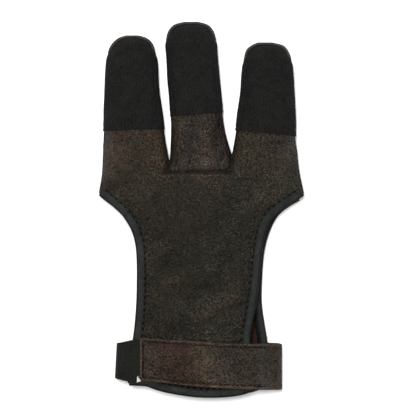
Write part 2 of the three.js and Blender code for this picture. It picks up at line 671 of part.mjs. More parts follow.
add("palm_panel", palmPanel(), leather);
add("back_panel", backPanel(), leather);
add("middle_finger_back", middleFingerBack(), leather);
for (const finger of Object.values(FINGERS)) add("stall_" + finger.name, stall(finger), stallFabric);
const panels = {
  back: { point: backPoint, start: CORNER_Y - 0.4, above: BINDING_WIDTH + 2 * GAP },
  palm: { point: palmPoint, start: CORNER_Y - 3.2, above: 0 },
};
for (const [panel, { point, start, above }] of Object.entries(panels)) {
  for (const [side, share] of Object.entries({ left: 0, right: 1 })) {
    const places = sidePlaces(panel, side, start, hemAt(share) + above);
    add(`binding_${panel}_${side}`, binding(places, point), tape);
  }
}
add("binding_back_hem", binding(hemPlaces("back"), backPoint), tape);
add("strap", strap(), strapLeather);
add("elastic_band", elasticBand(), elastic);
add("fastener_patch", fastenerPatch(), hookAndLoop);

// The origin is on the surface, below the middle of the whole glove
const bounds = new THREE.Box3().setFromObject(content);
content.position.set(-(bounds.min.x + bounds.max.x) / 2, -(bounds.min.y + bounds.max.y) / 2, -bounds.min.z);

export default glove;
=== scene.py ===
# Three-finger archery glove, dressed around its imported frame: grained leather panels, ribbed
# fingertip stalls, bound free edges with their stitching, and the wrist strap with its elastic.
# Shapes are worked out in millimetres, in the part's own frame, and placed in metres.
import math
from functools import partial

import bpy
import numpy as np
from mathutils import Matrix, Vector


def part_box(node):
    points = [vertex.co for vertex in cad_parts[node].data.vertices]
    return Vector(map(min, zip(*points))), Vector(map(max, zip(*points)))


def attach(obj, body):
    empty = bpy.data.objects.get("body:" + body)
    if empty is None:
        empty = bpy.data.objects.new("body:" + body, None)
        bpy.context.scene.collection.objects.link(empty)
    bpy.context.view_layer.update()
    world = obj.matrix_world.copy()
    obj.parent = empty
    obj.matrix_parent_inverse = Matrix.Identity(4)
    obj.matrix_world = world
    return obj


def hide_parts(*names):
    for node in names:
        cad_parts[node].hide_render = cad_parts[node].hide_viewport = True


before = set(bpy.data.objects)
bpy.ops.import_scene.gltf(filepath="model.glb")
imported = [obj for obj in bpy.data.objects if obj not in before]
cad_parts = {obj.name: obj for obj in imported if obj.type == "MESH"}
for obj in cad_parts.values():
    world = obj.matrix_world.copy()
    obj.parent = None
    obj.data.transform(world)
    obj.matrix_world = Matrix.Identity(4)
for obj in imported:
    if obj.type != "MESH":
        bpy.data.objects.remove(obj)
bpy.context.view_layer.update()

MM = 0.001

# Hand and fingers, as the solids have them
HAND_WIDTH = 113.0
HAND_LENGTH = 111.6
CORNER_Y = 9.4
HAND_HEIGHT = 15.0
WRIST_HEIGHT = 13.4
HEM_SAG = 6.6
LEATHER = 1.3
GAP = 0.3
MIDDLE_CENTRE = -5.9
FINGER_WIDTHS = {"left": 28.0, "middle": 27.5, "right": 27.0}
FINGER_TIPS = {"left": 95.9, "middle": 103.4, "right": 92.0}
TIP_GAPS = {"left": 4.9, "right": 14.9}
CROTCH_HEIGHTS = {"left": 26.4, "right": 30.2}
CROTCH_SHIFTS = {"left": 1.9, "right": 8.8}
ROOT_FLARES = {"left": 2.2, "right": 3.1}
FINGER_HEIGHT = 12.5
SEAM_HEIGHT = 5.2
TIP_ROUND = 11.0
ARCH_RUN = 16.0
VALLEY_RUN = 8.0
VALLEY_FILL = 0.25
NOTCH_DEPTH = 5.5
NOTCH_SPREADS = {"left": 2.4, "right": 0.5}
STALL_LENGTHS = {"left": (51.4, 50.3), "middle": (50.9, 48.5), "right": (47.2, 50.4)}
STALL_WALL = 1.5
STALL_PROUD = 0.5

# Free edges, binding and strap, as the solids have them
SEAM_END_DROP = 1.2
BACK_GAPE = 5.4
PALM_GAPE = 1.9
GAPE_RUN = 11.0
BINDING_WIDTH = 4.8
BINDING_WALL = 0.7
BINDING_SLACK = 0.45
STRAP_WIDTH = 24.6
STRAP_WALL = 1.6
TAB_INSET = 3.9
STRAP_REACH = 8.8
FOLD_HEIGHT = 10.6
FOLD_ROUND = 3.2
STRAP_RISE = 19.2
STRAP_SLOPE = -0.043
STRAP_END_INSET = 8.2
LIFT_RUN = 24.0
LIFT_CLEAR = 2.0
ELASTIC_WIDTH = 18.8
ELASTIC_WALL = 1.2
ELASTIC_REACH = 9.2
ELASTIC_FOLD_HEIGHT = 12.0
ELASTIC_END = 2.5
PATCH_INSET = 4.0
PATCH_LENGTH = 30.0
PATCH_WIDTH = 20.6
PATCH_WALL = 1.0

FINGER_ARCH = 2.3
HAND_ARCH = 2.2
PALM_FLAT = 1.18
PALM_CURL = 0.62
HEM_BEND = 3
WRIST_SHARE = 0.75  # the panel comes down to the wrist's height over this share of the hand

# Mesh steps across a finger and down the hand
COLUMNS = 30
HAND_STEPS = 130

# Stitching and small forms, which the solids leave out or have in a plainer shape
STITCH_PITCH = 3.5
STITCH_LENGTH = 2.3
STITCH_RADIUS = 0.24
TAPE_SPREAD = 0.6  # the tape's inner edge lies flat and reaches this much further in
STITCH_INSET = 4.35  # stitch row from the outside of the binding
TAB_STITCH_INSET = 1.7  # stitch row from the strap's edges
TAB_STITCH_END = 36.0  # stitching along the tab stops here
TAB_STITCH_CORNER = 1.6  # radius of its turns
TAB_CORNERS = {"upper": (0.8, 0.8), "lower": (2.2, 3.6)}  # run and rise of the cut corners
TAB_SHIFT = 0.8  # the tab's end lies this far inside the solid's
RAW_BAND = (3.0, 27.0)  # between these the strap's raw lower edge shows wider
RIBS_ACROSS = 26  # ribs over one stall
RIB_RISE = 0.06
ELASTIC_RIBS = 22
ELASTIC_BANDS = 14  # broad light and dark bands in its weave
THREAD_PITCH = 0.62  # of the thread that crosses the ribs
HEM_TUCK = 0.3  # the hem's tape sits this far above the panel's edge
STALL_LAP = 0.9  # a stall's lower edge laps over the leather by this
STALL_LAP_WALL = 0.4
STALL_HEM = 1.6  # a line is sewn this far above the lap's edge
STALL_HEM_DEPTH = 0.3
TIP_LIP = 0.45  # the palm leather's rim stands out round each fingertip by this
TIP_INSET = 1.05  # and the stall ends this far inside the finger's outline there
TIP_RUN = 13.0  # the rim comes into sight from this far below the tip
TIP_GROWTH = 8.0  # over this length
SIDE_SEAM = 1.9  # seam in a stall's side, from its edge
SIDE_SEAM_DEPTH = 0.35
SEAM_DEPTH = 0.85  # groove of the middle finger's seam in the leather
CREASE_DEPTH = 1.7  # the tables of creases and waves are scaled by these
WAVE_HEIGHT = 1.5
MARGIN_PAINTED_SHADE = 0.9  # a finger's leather is darker towards its sides by this, as painted shade
MARGIN_FROM = 0.9  # from this share of its half width
STRAP_MARGIN = 0.16  # share of the strap's width with a finer mesh, at each edge
TIP_SEAM_RUN = 9.0  # light stitches round a fingertip reach down this far
TIP_SEAM_INSET = 0.3
ELASTIC_SPREAD = (-1.9, 2.8)  # the elastic's sewn end spreads downwards and upwards by this
ELASTIC_SLANT = 1.0  # its fold leans outwards towards the hem by this
PATCH_CORNER = -90.6  # the patch's lower corner shows below this height
TAB_SHADOW_FROM = (-35.7, -90.75)  # the patch has the tab's painted shadow to the right of a slanting line through here
TAB_SHADOW_SLOPE = 0.758
PATCH_TUCK = 2.6  # above its corner the patch's left edge is further in by this
PATCH_DROOP = 1.1  # the corner hangs down by this
PATCH_DROOP_RUN = 1.5  # over this length from the patch's end
ELASTIC_COVER = 1.9  # above it the elastic runs on to the tab by this

# Sides of a finger: up, flare left, flare right, tip left, tip right
SECTIONS = {
    "left": [
        (0, 1, 1, 1, 1),
        (0.19, 0.75, 0.65, 1, 1),
        (0.39, 0.5, 0.38, 1, 1),
        (0.61, 0.25, 0.08, 1, 1),
        (0.77, 0, 0, 1, 1),
        (0.85, 0, 0, 0.95, 0.94),
        (0.905, 0, 0, 0.86, 0.86),
        (0.955, 0, 0, 0.67, 0.72),
        (0.985, 0, 0, 0.45, 0.5),
        (1, 0, 0, 0.2, 0.22),
    ],
    "middle": [
        (0, 1, 1, 1, 1),
        (0.17, 1.35, 0.6, 1, 1),
        (0.35, 1.35, 0.38, 1, 1),
        (0.6, 0.57, 0.18, 1, 1),
        (0.75, 0.29, 0.06, 1, 1),
        (0.864, 0, 0, 1, 1),
        (0.921, 0, 0, 0.92, 0.9),
        (0.957, 0, 0, 0.8, 0.78),
        (0.984, 0, 0, 0.6, 0.58),
        (1, 0, 0, 0.24, 0.24),
    ],
    "right": [
        (0, 1, 1, 1, 1),
        (0.17, 0.7, 0.6, 1, 1),
        (0.37, 0.46, 0.5, 1, 1),
        (0.55, 0.2, 0.35, 1, 1),
        (0.7, 0.08, 0.18, 1, 1),
        (0.8, 0, 0, 1, 1),
        (0.875, 0, 0, 0.93, 0.93),
        (0.945, 0, 0, 0.8, 0.76),
        (0.98, 0, 0, 0.58, 0.56),
        (1, 0, 0, 0.36, 0.16),
    ],
}
FLARE = {"left": 1, "right": 2}
TIP = {"left": 3, "right": 4}

# Free edges: down as a share of the hand length, then left, back right and palm right as shares of
# the hand width
EDGES = [
    (0, -0.5, 0.497, 0.497),
    (0.02, -0.478, 0.473, 0.486),
    (0.059, -0.427, 0.407, 0.421),
    (0.098, -0.385, 0.356, 0.373),
    (0.137, -0.357, 0.323, 0.346),
    (0.176, -0.335, 0.305, 0.328),
    (0.235, -0.316, 0.292, 0.308),
    (0.314, -0.307, 0.281, 0.293),
    (0.456, -0.306, 0.267, 0.284),
    (0.549, -0.309, 0.255, 0.284),
    (0.642, -0.316, 0.237, 0.296),
    (0.725, -0.326, 0.228, 0.309),
    (0.843, -0.34, 0.24, 0.314),
    (0.946, -0.353, 0.265, 0.314),
]
EDGE_COLUMN = {("back", "left"): 1, ("palm", "left"): 1, ("back", "right"): 2, ("palm", "right"): 3}

# The hem's curve: across, then its height above its lowest point as a share of the sag
HEM = [
    (0, 1),
    (0.1, 0.98),
    (0.15, 0.9),
    (0.2, 0.7),
    (0.26, 0.51),
    (0.33, 0.35),
    (0.42, 0.18),
    (0.52, 0.05),
    (0.62, 0),
    (0.72, 0.02),
    (0.8, 0.08),
    (0.89, 0.24),
    (0.95, 0.45),
    (1, 0.7),
]

# The tab's lower and upper edge lie above the solid's by this, at x: x, lower, upper
TAB_EDGES = [
    (-34.5, 2.3, 0.5),
    (-26.0, 2.0, 0.2),
    (-18.0, 1.5, 0.0),
    (-7.0, 0.7, 0.0),
    (2.0, 0.3, -0.3),
    (13.0, 0.1, -0.6),
    (26.0, 0.0, -0.3),
    (36.0, 0.0, 0.0),
    (48.0, 0.0, 0.0),
]

# Soft folds: x, y, turn, length, width, rise, as the solids have them
FOLDS = [
    (0.1, -0.02, 62, 0.17, 0.05, -0.05),
    (-0.2, -0.08, 35, 0.15, 0.06, -0.035),
    (0.14, -0.27, 48, 0.16, 0.05, -0.05),
    (0.02, -0.36, 56, 0.2, 0.055, 0.035),
    (-0.12, -0.42, 40, 0.16, 0.06, -0.04),
    (0.13, -0.5, 20, 0.12, 0.045, -0.035),
]

# Sharper creases in the leather, in millimetres: x, y, turn in degrees, half length, half width, rise
CREASES = [
    (41.4, 36.9, 4, 8.0, 0.9, -0.4),
    (39.0, 31.5, -6, 7.0, 1.1, -0.25),
    (10.6, 27.0, 63, 7.0, 0.9, -0.4),
    (14.5, 22.5, 58, 6.0, 1.0, -0.3),
    (-15.0, 17.5, -60, 6.0, 1.0, -0.3),
    (-44.0, 21.0, -8, 7.0, 1.1, -0.25),
    (-30.0, -6.0, 40, 6.0, 0.8, -0.22),
    (-22.0, -14.0, 36, 7.0, 0.8, -0.22),
    (12.0, -30.0, 50, 9.0, 0.9, -0.25),
    (-4.0, -48.0, 54, 8.0, 0.9, -0.2),
    (18.8, -66.5, 25, 2.4, 0.7, -0.3),
    (4.0, -62.0, 30, 7.0, 0.9, -0.2),
]

# Broad soft undulations, in the same columns
WAVES = [
    (-14.6, -38.4, 28, 11.0, 3.2, 0.55),
    (3.1, -43.5, 18, 13.0, 3.2, -0.6),
    (4.4, -56.1, 32, 13.0, 3.2, 0.6),
    (-14.2, -65.5, 20, 8.0, 4.0, -0.6),
    (-18.0, -27.5, 45, 9.0, 4.0, -0.45),
    (22.7, -1.0, 50, 9.0, 3.0, 0.45),
    (16.0, -18.0, 62, 10.0, 3.0, -0.35),
    (-6.0, -8.0, 20, 14.0, 5.0, 0.3),
    (36.0, 38.5, 5, 8.0, 1.6, 0.35),
    (-42.0, 26.0, 70, 9.0, 2.5, 0.25),
    (44.0, 22.0, 80, 9.0, 2.2, 0.35),
    (31.0, 22.0, 78, 8.0, 2.0, -0.3),
    (2.6, 42.0, 95, 11.0, 1.7, 0.6),
    (8.8, 40.0, 80, 11.0, 2.0, -0.6),
    (-6.0, 38.0, 86, 10.0, 1.6, -0.35),
    (-12.0, 40.0, 88, 9.0, 2.2, 0.3),
]

# Painted highlights and shade on the leather's folds, streaks and base seam, and lighter and darker patches
# of its own tone, in the same columns; they leave the shape alone
PAINTED_LIGHT_AND_TONES = [
    (-42.0, 32.0, 80, 18.0, 13.0, 0.25),
    (38.0, 14.0, 60, 16.0, 9.0, 0.35),
    (2.0, -6.0, 20, 24.0, 7.0, -0.25),
    (-12.0, -22.0, 60, 16.0, 7.0, -0.3),
    (-2.0, -52.0, 25, 20.0, 6.0, 0.25),
    (-10.0, -64.0, 15, 14.0, 5.0, -0.35),
    (8.0, -68.0, 10, 12.0, 4.0, 0.3),
    (-14.0, 40.0, 88, 14.0, 5.0, 0.2),
    (-0.5, 18.2, 0, 15.0, 1.5, 0.75),
    (-0.5, 20.9, 0, 16.0, 0.8, -0.9),
    (2.8, 38.0, 90, 14.0, 2.6, 0.95),
    (-5.6, 38.0, 90, 14.0, 3.0, -0.55),
    (9.6, 38.0, 87, 14.0, 2.4, -0.6),
    (6.5, 27.5, 20, 5.0, 2.0, 0.5),
    (-26.0, 32.0, 85, 14.0, 8.0, 0.45),
    (27.0, 34.0, 85, 13.0, 7.0, 0.4),
    (44.0, 27.0, 80, 12.0, 7.0, 0.2),
]


def clamp(value, low=0.0, high=1.0):
    return np.minimum(np.maximum(value, low), high)


def mix(a, b, t):
    return a + (b - a) * t


def stack(x, y, z):
    """Points from coordinates, of which some may be single numbers."""
    return np.stack(np.broadcast_arrays(x, y, z), axis=-1)


def smooth(t):
    return clamp(t) ** 2 * (3 - 2 * clamp(t))


def bell(distance, width):
    return np.exp(-((distance / width) ** 2))


def read(table, at, column):
    """Smooth curve through one column of a table."""
    rows = np.array(table, dtype=float)
    keys, values = rows[:, 0], rows[:, column]
    last = len(keys) - 1
    before, after = np.maximum(np.arange(last + 1) - 1, 0), np.minimum(np.arange(last + 1) + 1, last)
    slopes = (values[after] - values[before]) / (keys[after] - keys[before])
    at = np.asarray(at, dtype=float)
    i = clamp(np.searchsorted(keys, at) - 1, 0, last - 1).astype(int)
    span = keys[i + 1] - keys[i]
    t = clamp((at - keys[i]) / span)
    a, b, ta, tb = values[i], values[i + 1], slopes[i] * span, slopes[i + 1] * span
    return (2 * a - 2 * b + ta + tb) * t**3 + (3 * b - 3 * a - 2 * ta - tb) * t**2 + ta * t + a


def noise(x, y, size, seed):
    """Smooth value noise from -1 to 1 with features of a given size."""
    lattice = np.random.RandomState(seed).uniform(-1, 1, (64, 64))
    fx, fy = np.asarray(x) / size + 1000, np.asarray(y) / size + 1000
    ix, iy = np.floor(fx).astype(int), np.floor(fy).astype(int)
    tx, ty = smooth(fx - ix), smooth(fy - iy)

    def corner(dx, dy):
        return lattice[(ix + dx) % 64, (iy + dy) % 64]

    return mix(mix(corner(0, 0), corner(1, 0), tx), mix(corner(0, 1), corner(1, 1), tx), ty)


# Places that several pieces share
half = {name: width / 2 for name, width in FINGER_WIDTHS.items()}
middle_left = MIDDLE_CENTRE - half["middle"]
middle_right = MIDDLE_CENTRE + half["middle"]
centres = {
    "left": middle_left - TIP_GAPS["left"] - half["left"],
    "middle": MIDDLE_CENTRE,
    "right": middle_right + TIP_GAPS["right"] + half["right"],
}
root_points = [
    (centres["left"] - half["left"] - ROOT_FLARES["left"], CROTCH_HEIGHTS["left"]),
    (middle_left + CROTCH_SHIFTS["left"], CROTCH_HEIGHTS["left"]),
    (middle_right + CROTCH_SHIFTS["right"], CROTCH_HEIGHTS["right"]),
    (centres["right"] + half["right"] + ROOT_FLARES["right"], CROTCH_HEIGHTS["right"]),
]
FINGERS = ["left", "middle", "right"]
roots = {
    name: {"left": root_points[i], "right": root_points[i + 1]} for i, name in enumerate(FINGERS)
}
notch_y = CROTCH_HEIGHTS["left"] - NOTCH_DEPTH
seam_end_y = CORNER_Y + SEAM_END_DROP
hem_y = CORNER_Y - HAND_LENGTH
strap_level = hem_y + STRAP_RISE

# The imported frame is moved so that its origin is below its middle
palm_low, palm_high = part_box("palm_panel")
corner_middle = HAND_WIDTH * (EDGES[0][1] + EDGES[0][3]) / 2
frame_shift = np.array([
    (palm_low[0] + palm_high[0]) / 2 / MM - corner_middle,
    palm_high[1] / MM - FINGER_TIPS["middle"],
    0.0,
])


def finger_side(finger, side, y):
    """Where a finger's side is at a height."""
    root = roots[finger][side]
    up = (y - root[1]) / (FINGER_TIPS[finger] - root[1])
    reach = half[finger] * (-1 if side == "left" else 1)
    flare = read(SECTIONS[finger], up, FLARE[side])
    tip = read(SECTIONS[finger], up, TIP[side])
    return centres[finger] + reach * tip + (root[0] - centres[finger] - reach) * flare


def hand_edge(panel, side, y):
    """Where a panel's side edge is at a height, from the finger's root down to the hem."""
    root = root_points[0] if side == "left" else root_points[3]
    column = EDGE_COLUMN[panel, side]
    above = mix(root[0], HAND_WIDTH * EDGES[0][column], clamp((root[1] - y) / (root[1] - CORNER_Y)) ** 1.5)
    below = HAND_WIDTH * read(EDGES, (CORNER_Y - y) / HAND_LENGTH, column)
    return np.where(y > CORNER_Y, above, below)


def notch_side(side, y):
    """Where the side of the middle finger's base seam is at a height."""
    crotch = root_points[1] if side == "left" else root_points[2]
    return crotch[0] - NOTCH_SPREADS[side] * clamp((crotch[1] - y) / (crotch[1] - notch_y))


def hem_at(share):
    """Height of the hem at a share of its width."""
    return hem_y + HEM_SAG * read(HEM, share, 1)


def ridges(x, y, table, unit):
    """Sum of long soft ridges or valleys from a table."""
    total = np.zeros_like(x + y)
    for fx, fy, turn, length, width, rise in table:
        angle = math.radians(turn)
        dx, dy = x / unit - fx, y / unit - fy
        along = (dx * math.cos(angle) + dy * math.sin(angle)) / length
        across = (dy * math.cos(angle) - dx * math.sin(angle)) / width
        total = total + rise * np.exp(-(along**2) - across**2)
    return total


def situation(panel, finger, u, x, y):
    """How far the fingers have merged, and where a point lies across, along and round the arch."""
    a, b = roots[finger]["left"][1], roots[finger]["right"][1]
    crotch_y = mix(a, b, (1 + u) / 2)
    merged = smooth((crotch_y - y) / ARCH_RUN)
    low = np.minimum(y, crotch_y)
    left, right = hand_edge(panel, "left", low), hand_edge(panel, "right", low)
    across = clamp(2 * (x - left) / (right - left) - 1, -1, 1)
    parted = 1 - np.exp(-np.maximum(0, seam_end_y - y) / GAPE_RUN)
    tip = clamp((y - FINGER_TIPS[finger] + TIP_ROUND) / TIP_ROUND)
    outside = {"left": u < 0, "right": u >= 0}.get(finger, False)
    fill = np.where(outside, 0, VALLEY_FILL * smooth((crotch_y - y) / VALLEY_RUN))
    arch = clamp(1 - np.abs(u * (1 - fill)) ** FINGER_ARCH) ** (1 / FINGER_ARCH) * np.sqrt(clamp(1 - tip**2))
    side = mix(across, u, smooth((y - crotch_y) / LEATHER / 4))
    return merged, across, parted, tip, arch, side


def back_point(finger, u, x, y, wall=LEATHER, proud=0.0, detail=0.0):
    """Upper and lower points of the back of the glove."""
    merged, across, parted, tip, arch, side = situation("back", finger, u, x, y)
    body = mix(arch, 1 - np.abs(across) ** HAND_ARCH, merged)
    wrist = smooth((CORNER_Y - y) / (HAND_LENGTH * WRIST_SHARE))
    top = mix(FINGER_HEIGHT + proud, mix(HAND_HEIGHT, WRIST_HEIGHT, wrist), merged)
    inner = SEAM_HEIGHT + GAP / 2 + BACK_GAPE * parted
    outer = inner + wall * merged
    fold = ridges(x, y, FOLDS, HAND_WIDTH) * HAND_HEIGHT * merged * body
    lean = (1 - merged) * side
    out_x, out_y = x + proud * u, y + proud * tip
    upper = stack(out_x, out_y, outer + (top - outer) * body + fold)
    lower = stack(out_x - wall * lean, out_y - wall * tip, inner + (top - wall - inner) * body + fold)
    push = stack(lean * detail, 0.0, (1 - 0.6 * np.abs(lean)) * detail)
    return upper + push, lower + push


def palm_lift(y):
    """How far the palm panel rises to lie on the strap."""
    strap_top = strap_level + STRAP_WIDTH / 2
    return smooth((strap_top + LIFT_RUN + LIFT_CLEAR - y) / LIFT_RUN) * (STRAP_WALL + GAP)


def palm_point(finger, u, x, y, lip=0.0):
    """Upper and lower points of the palm panel."""
    merged, across, parted, tip, arch, side = situation("palm", finger, u, x, y)
    curl = clamp((np.abs(across) - PALM_CURL) / (1 - PALM_CURL))
    body = mix(np.minimum(1, PALM_FLAT * arch), 1 - curl**2, merged)
    inner = SEAM_HEIGHT - GAP / 2 - PALM_GAPE * parted
    outer = inner - LEATHER * merged
    slip = LEATHER * (1 - merged) * side
    lift = palm_lift(y)
    out_x, out_y = x + lip * u, y + lip * tip
    upper = stack(out_x - slip, out_y - LEATHER * tip, inner + (LEATHER - inner) * body + lift)
    return upper, stack(out_x, out_y, outer * (1 - body) + lift)


def back_top(x, y):
    """Height of the back of the hand."""
    return back_point("middle", 0.0, np.asarray(x, float), np.asarray(y, float))[0][..., 2]


# Ends and folds of the strap and the elastic
panel_left = float(hand_edge("back", "left", strap_level))
tab_end = panel_left + TAB_INSET
strap_end = panel_left + STRAP_END_INSET
strap_fold = float(hand_edge("palm", "right", strap_level)) + STRAP_REACH
elastic_fold = panel_left - ELASTIC_REACH


# Leather detail: gentle unevenness and creases that the solids leave out
def creases(x, y):
    return CREASE_DEPTH * ridges(x, y, CREASES, 1.0) + WAVE_HEIGHT * ridges(x, y, WAVES, 1.0)


def with_painted_light(patch):
    """The patch with its painted light and shade, high on ridges, low in folds and at a finger's sides, and
    its patches of tone, in place of its lengthwise place.
    """
    upper, lower, u, _ = patch
    x, y = upper[..., 0], upper[..., 1]
    side = MARGIN_PAINTED_SHADE * smooth((np.abs(u) - MARGIN_FROM) / (1 - MARGIN_FROM)) * (np.min(u) < 0)
    return upper, lower, u, creases(x, y) + ridges(x, y, PAINTED_LIGHT_AND_TONES, 1.0) - side


def leather_detail(x, y, seam, lip=0.0):
    """Height of the leather's surface beside its even shape, with a groove along a seam."""
    uneven = 0.2 * noise(x, y, 9.0, 3) + 0.11 * noise(x, y, 3.6, 4) + 0.05 * noise(x, y, 1.7, 5)
    groove = SEAM_DEPTH * bell(seam, mix(1.1, 0.75, lip))
    return uneven + creases(x, y) - groove + (0.15 + 0.3 * lip) * bell(seam - 2.0, 1.0)


def around(count):
    """Places from -1 to 1 across an arch, closer together at both sides."""
    return -np.cos(np.pi * np.linspace(0, 1, count + 1))


def surface(columns, rows, at):
    """A patch: arrays of upper and lower points, rows by columns, with its own places."""
    u, v = np.meshgrid(columns, rows)
    upper, lower = at(u, v)
    return upper, lower, u, v


def finger_patch(point, finger, bottom, top, sides, rows, columns=around(COLUMNS)):
    """Patch over one finger between a lower and an upper line of heights."""

    def at(u, v):
        left, right = mix(bottom[0], top[0], v), mix(bottom[1], top[1], v)
        share = (1 + u) / 2
        x = mix(sides("left", left), sides("right", right), share)
        return point(finger, u, x, mix(left, right, share))

    return surface(columns, rows, at)


def hand_patch(panel, point, line, names, us, rows):
    """Patch over the hand below a line of points that runs through the three fingers."""
    share = (line[:, 0] - line[0, 0]) / (line[-1, 0] - line[0, 0])
    v = rows[:, None]
    ends = mix(line[0, 1], hem_at(0), v), mix(line[-1, 1], hem_at(1), v)
    level = mix(line[None, :, 1], mix(hem_at(0), hem_at(1), share)[None, :], v)
    sag = (hem_at(share) - mix(hem_at(0), hem_at(1), share))[None, :] * v**HEM_BEND
    x = mix(hand_edge(panel, "left", ends[0]), hand_edge(panel, "right", ends[1]), share[None, :])
    x = np.where(v == 0, line[None, :, 0], x)
    y = level + sag
    upper, lower = np.zeros(x.shape + (3,)), np.zeros(x.shape + (3,))
    for name in FINGERS:
        mask = np.array(names) == name
        up, low = point(name, us[None, mask] + 0 * x[:, mask], x[:, mask], y[:, mask])
        upper[:, mask], lower[:, mask] = up, low
    grid_u = np.repeat(share[None, :], len(rows), axis=0)
    return upper[::-1], lower[::-1], grid_u[::-1], np.repeat(v, len(share), axis=1)[::-1]


def mesh_object(name, points, faces, materials, slots=None, attributes=None):
    """A smooth mesh object from points in millimetres."""
    mesh = bpy.data.meshes.new(name)
    mesh.from_pydata(((np.asarray(points) + frame_shift) * MM).tolist(), [], faces)
    for material in materials:
        mesh.materials.append(material)
    if slots is not None:
        mesh.polygons.foreach_set("material_index", slots)
    mesh.polygons.foreach_set("use_smooth", [True] * len(faces))
    for key, values in (attributes or {}).items():
        layer = mesh.attributes.new(key, "FLOAT", "POINT")
        layer.data.foreach_set("value", np.asarray(values, dtype=np.float32))
    mesh.validate()
    obj = bpy.data.objects.new(name, mesh)
    bpy.context.scene.collection.objects.link(obj)
    return obj


def sheet(name, patches, materials, bulge=0.3):
    """Closed sheet from patches of paired points, with rounded rims. The materials are the upper
    face's, the lower face's and the rim's."""
    ids, upper, lower, places, faces = {}, [], [], [], []
    for up, low, u, v in patches:
        keys = np.round(np.concatenate([up, low], axis=-1), 3)
        grid = np.empty(up.shape[:2], dtype=int)
        for j in range(up.shape[0]):
            for i in range(up.shape[1]):
                key = tuple(keys[j, i])
                if key not in ids:
                    ids[key] = len(upper)
                    upper.append(up[j, i])
                    lower.append(low[j, i])
                    places.append((u[j, i], v[j, i]))
                grid[j, i] = ids[key]
        a, b, c, d = grid[:-1, :-1], grid[:-1, 1:], grid[1:, 1:], grid[1:, :-1]
        faces += np.stack([a, b, c, d], axis=-1).reshape(-1, 4).tolist()
    count = len(upper)
    upper, lower, places = np.array(upper), np.array(lower), np.array(places)
    used = {(f[k], f[(k + 1) % 4]) for f in faces for k in range(4)}
    border = {a: b for a, b in used if (b, a) not in used}
    points = [upper, lower]
    ring = {a: i for i, a in enumerate(border)}
    before = {b: a for a, b in border.items()}
    out = []
    for a in border:
        tangent = upper[border[a]] - upper[before[a]]
        thick = upper[a] - lower[a]
        direction = np.cross(tangent, thick)
        out.append(direction / (np.linalg.norm(direction) + 1e-9) * np.linalg.norm(thick))
    out = np.array(out)
    edge = list(border)
    steps = (0.16, 0.5, 0.84)
    for step in steps:
        push = bulge * (1 - (2 * step - 1) ** 2) ** 0.5
        points.append(mix(upper[edge], lower[edge], step) + out * push)
    slots = [0] * len(faces) + [1] * len(faces)
    closed = list(faces) + [[d + count, c + count, b + count, a + count] for a, b, c, d in faces]
    n = len(edge)
    for a, b in border.items():
        chain_a = [a] + [2 * count + k * n + ring[a] for k in range(len(steps))] + [a + count]
        chain_b = [b] + [2 * count + k * n + ring[b] for k in range(len(steps))] + [b + count]
        for k in range(len(chain_a) - 1):
            closed.append([chain_b[k], chain_a[k], chain_a[k + 1], chain_b[k + 1]])
            slots.append(2)
    rim_places = places[edge]
    attributes = {
        "across": np.concatenate([places[:, 0], places[:, 0]] + [rim_places[:, 0]] * len(steps)),
        "along": np.concatenate([places[:, 1], places[:, 1]] + [rim_places[:, 1]] * len(steps)),
    }
    return mesh_object(name, np.concatenate(points), closed, materials, slots, attributes)


def finish_piece(obj, slot, *nodes):
    """Puts a piece under the part's root and hides the solids that it stands for."""
    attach(obj, "root")
    if nodes:
        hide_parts(*nodes)
    return obj


# Materials
BLACK = (0.0, 0.0, 0.0)
WHITE = (1.0, 1.0, 1.0)


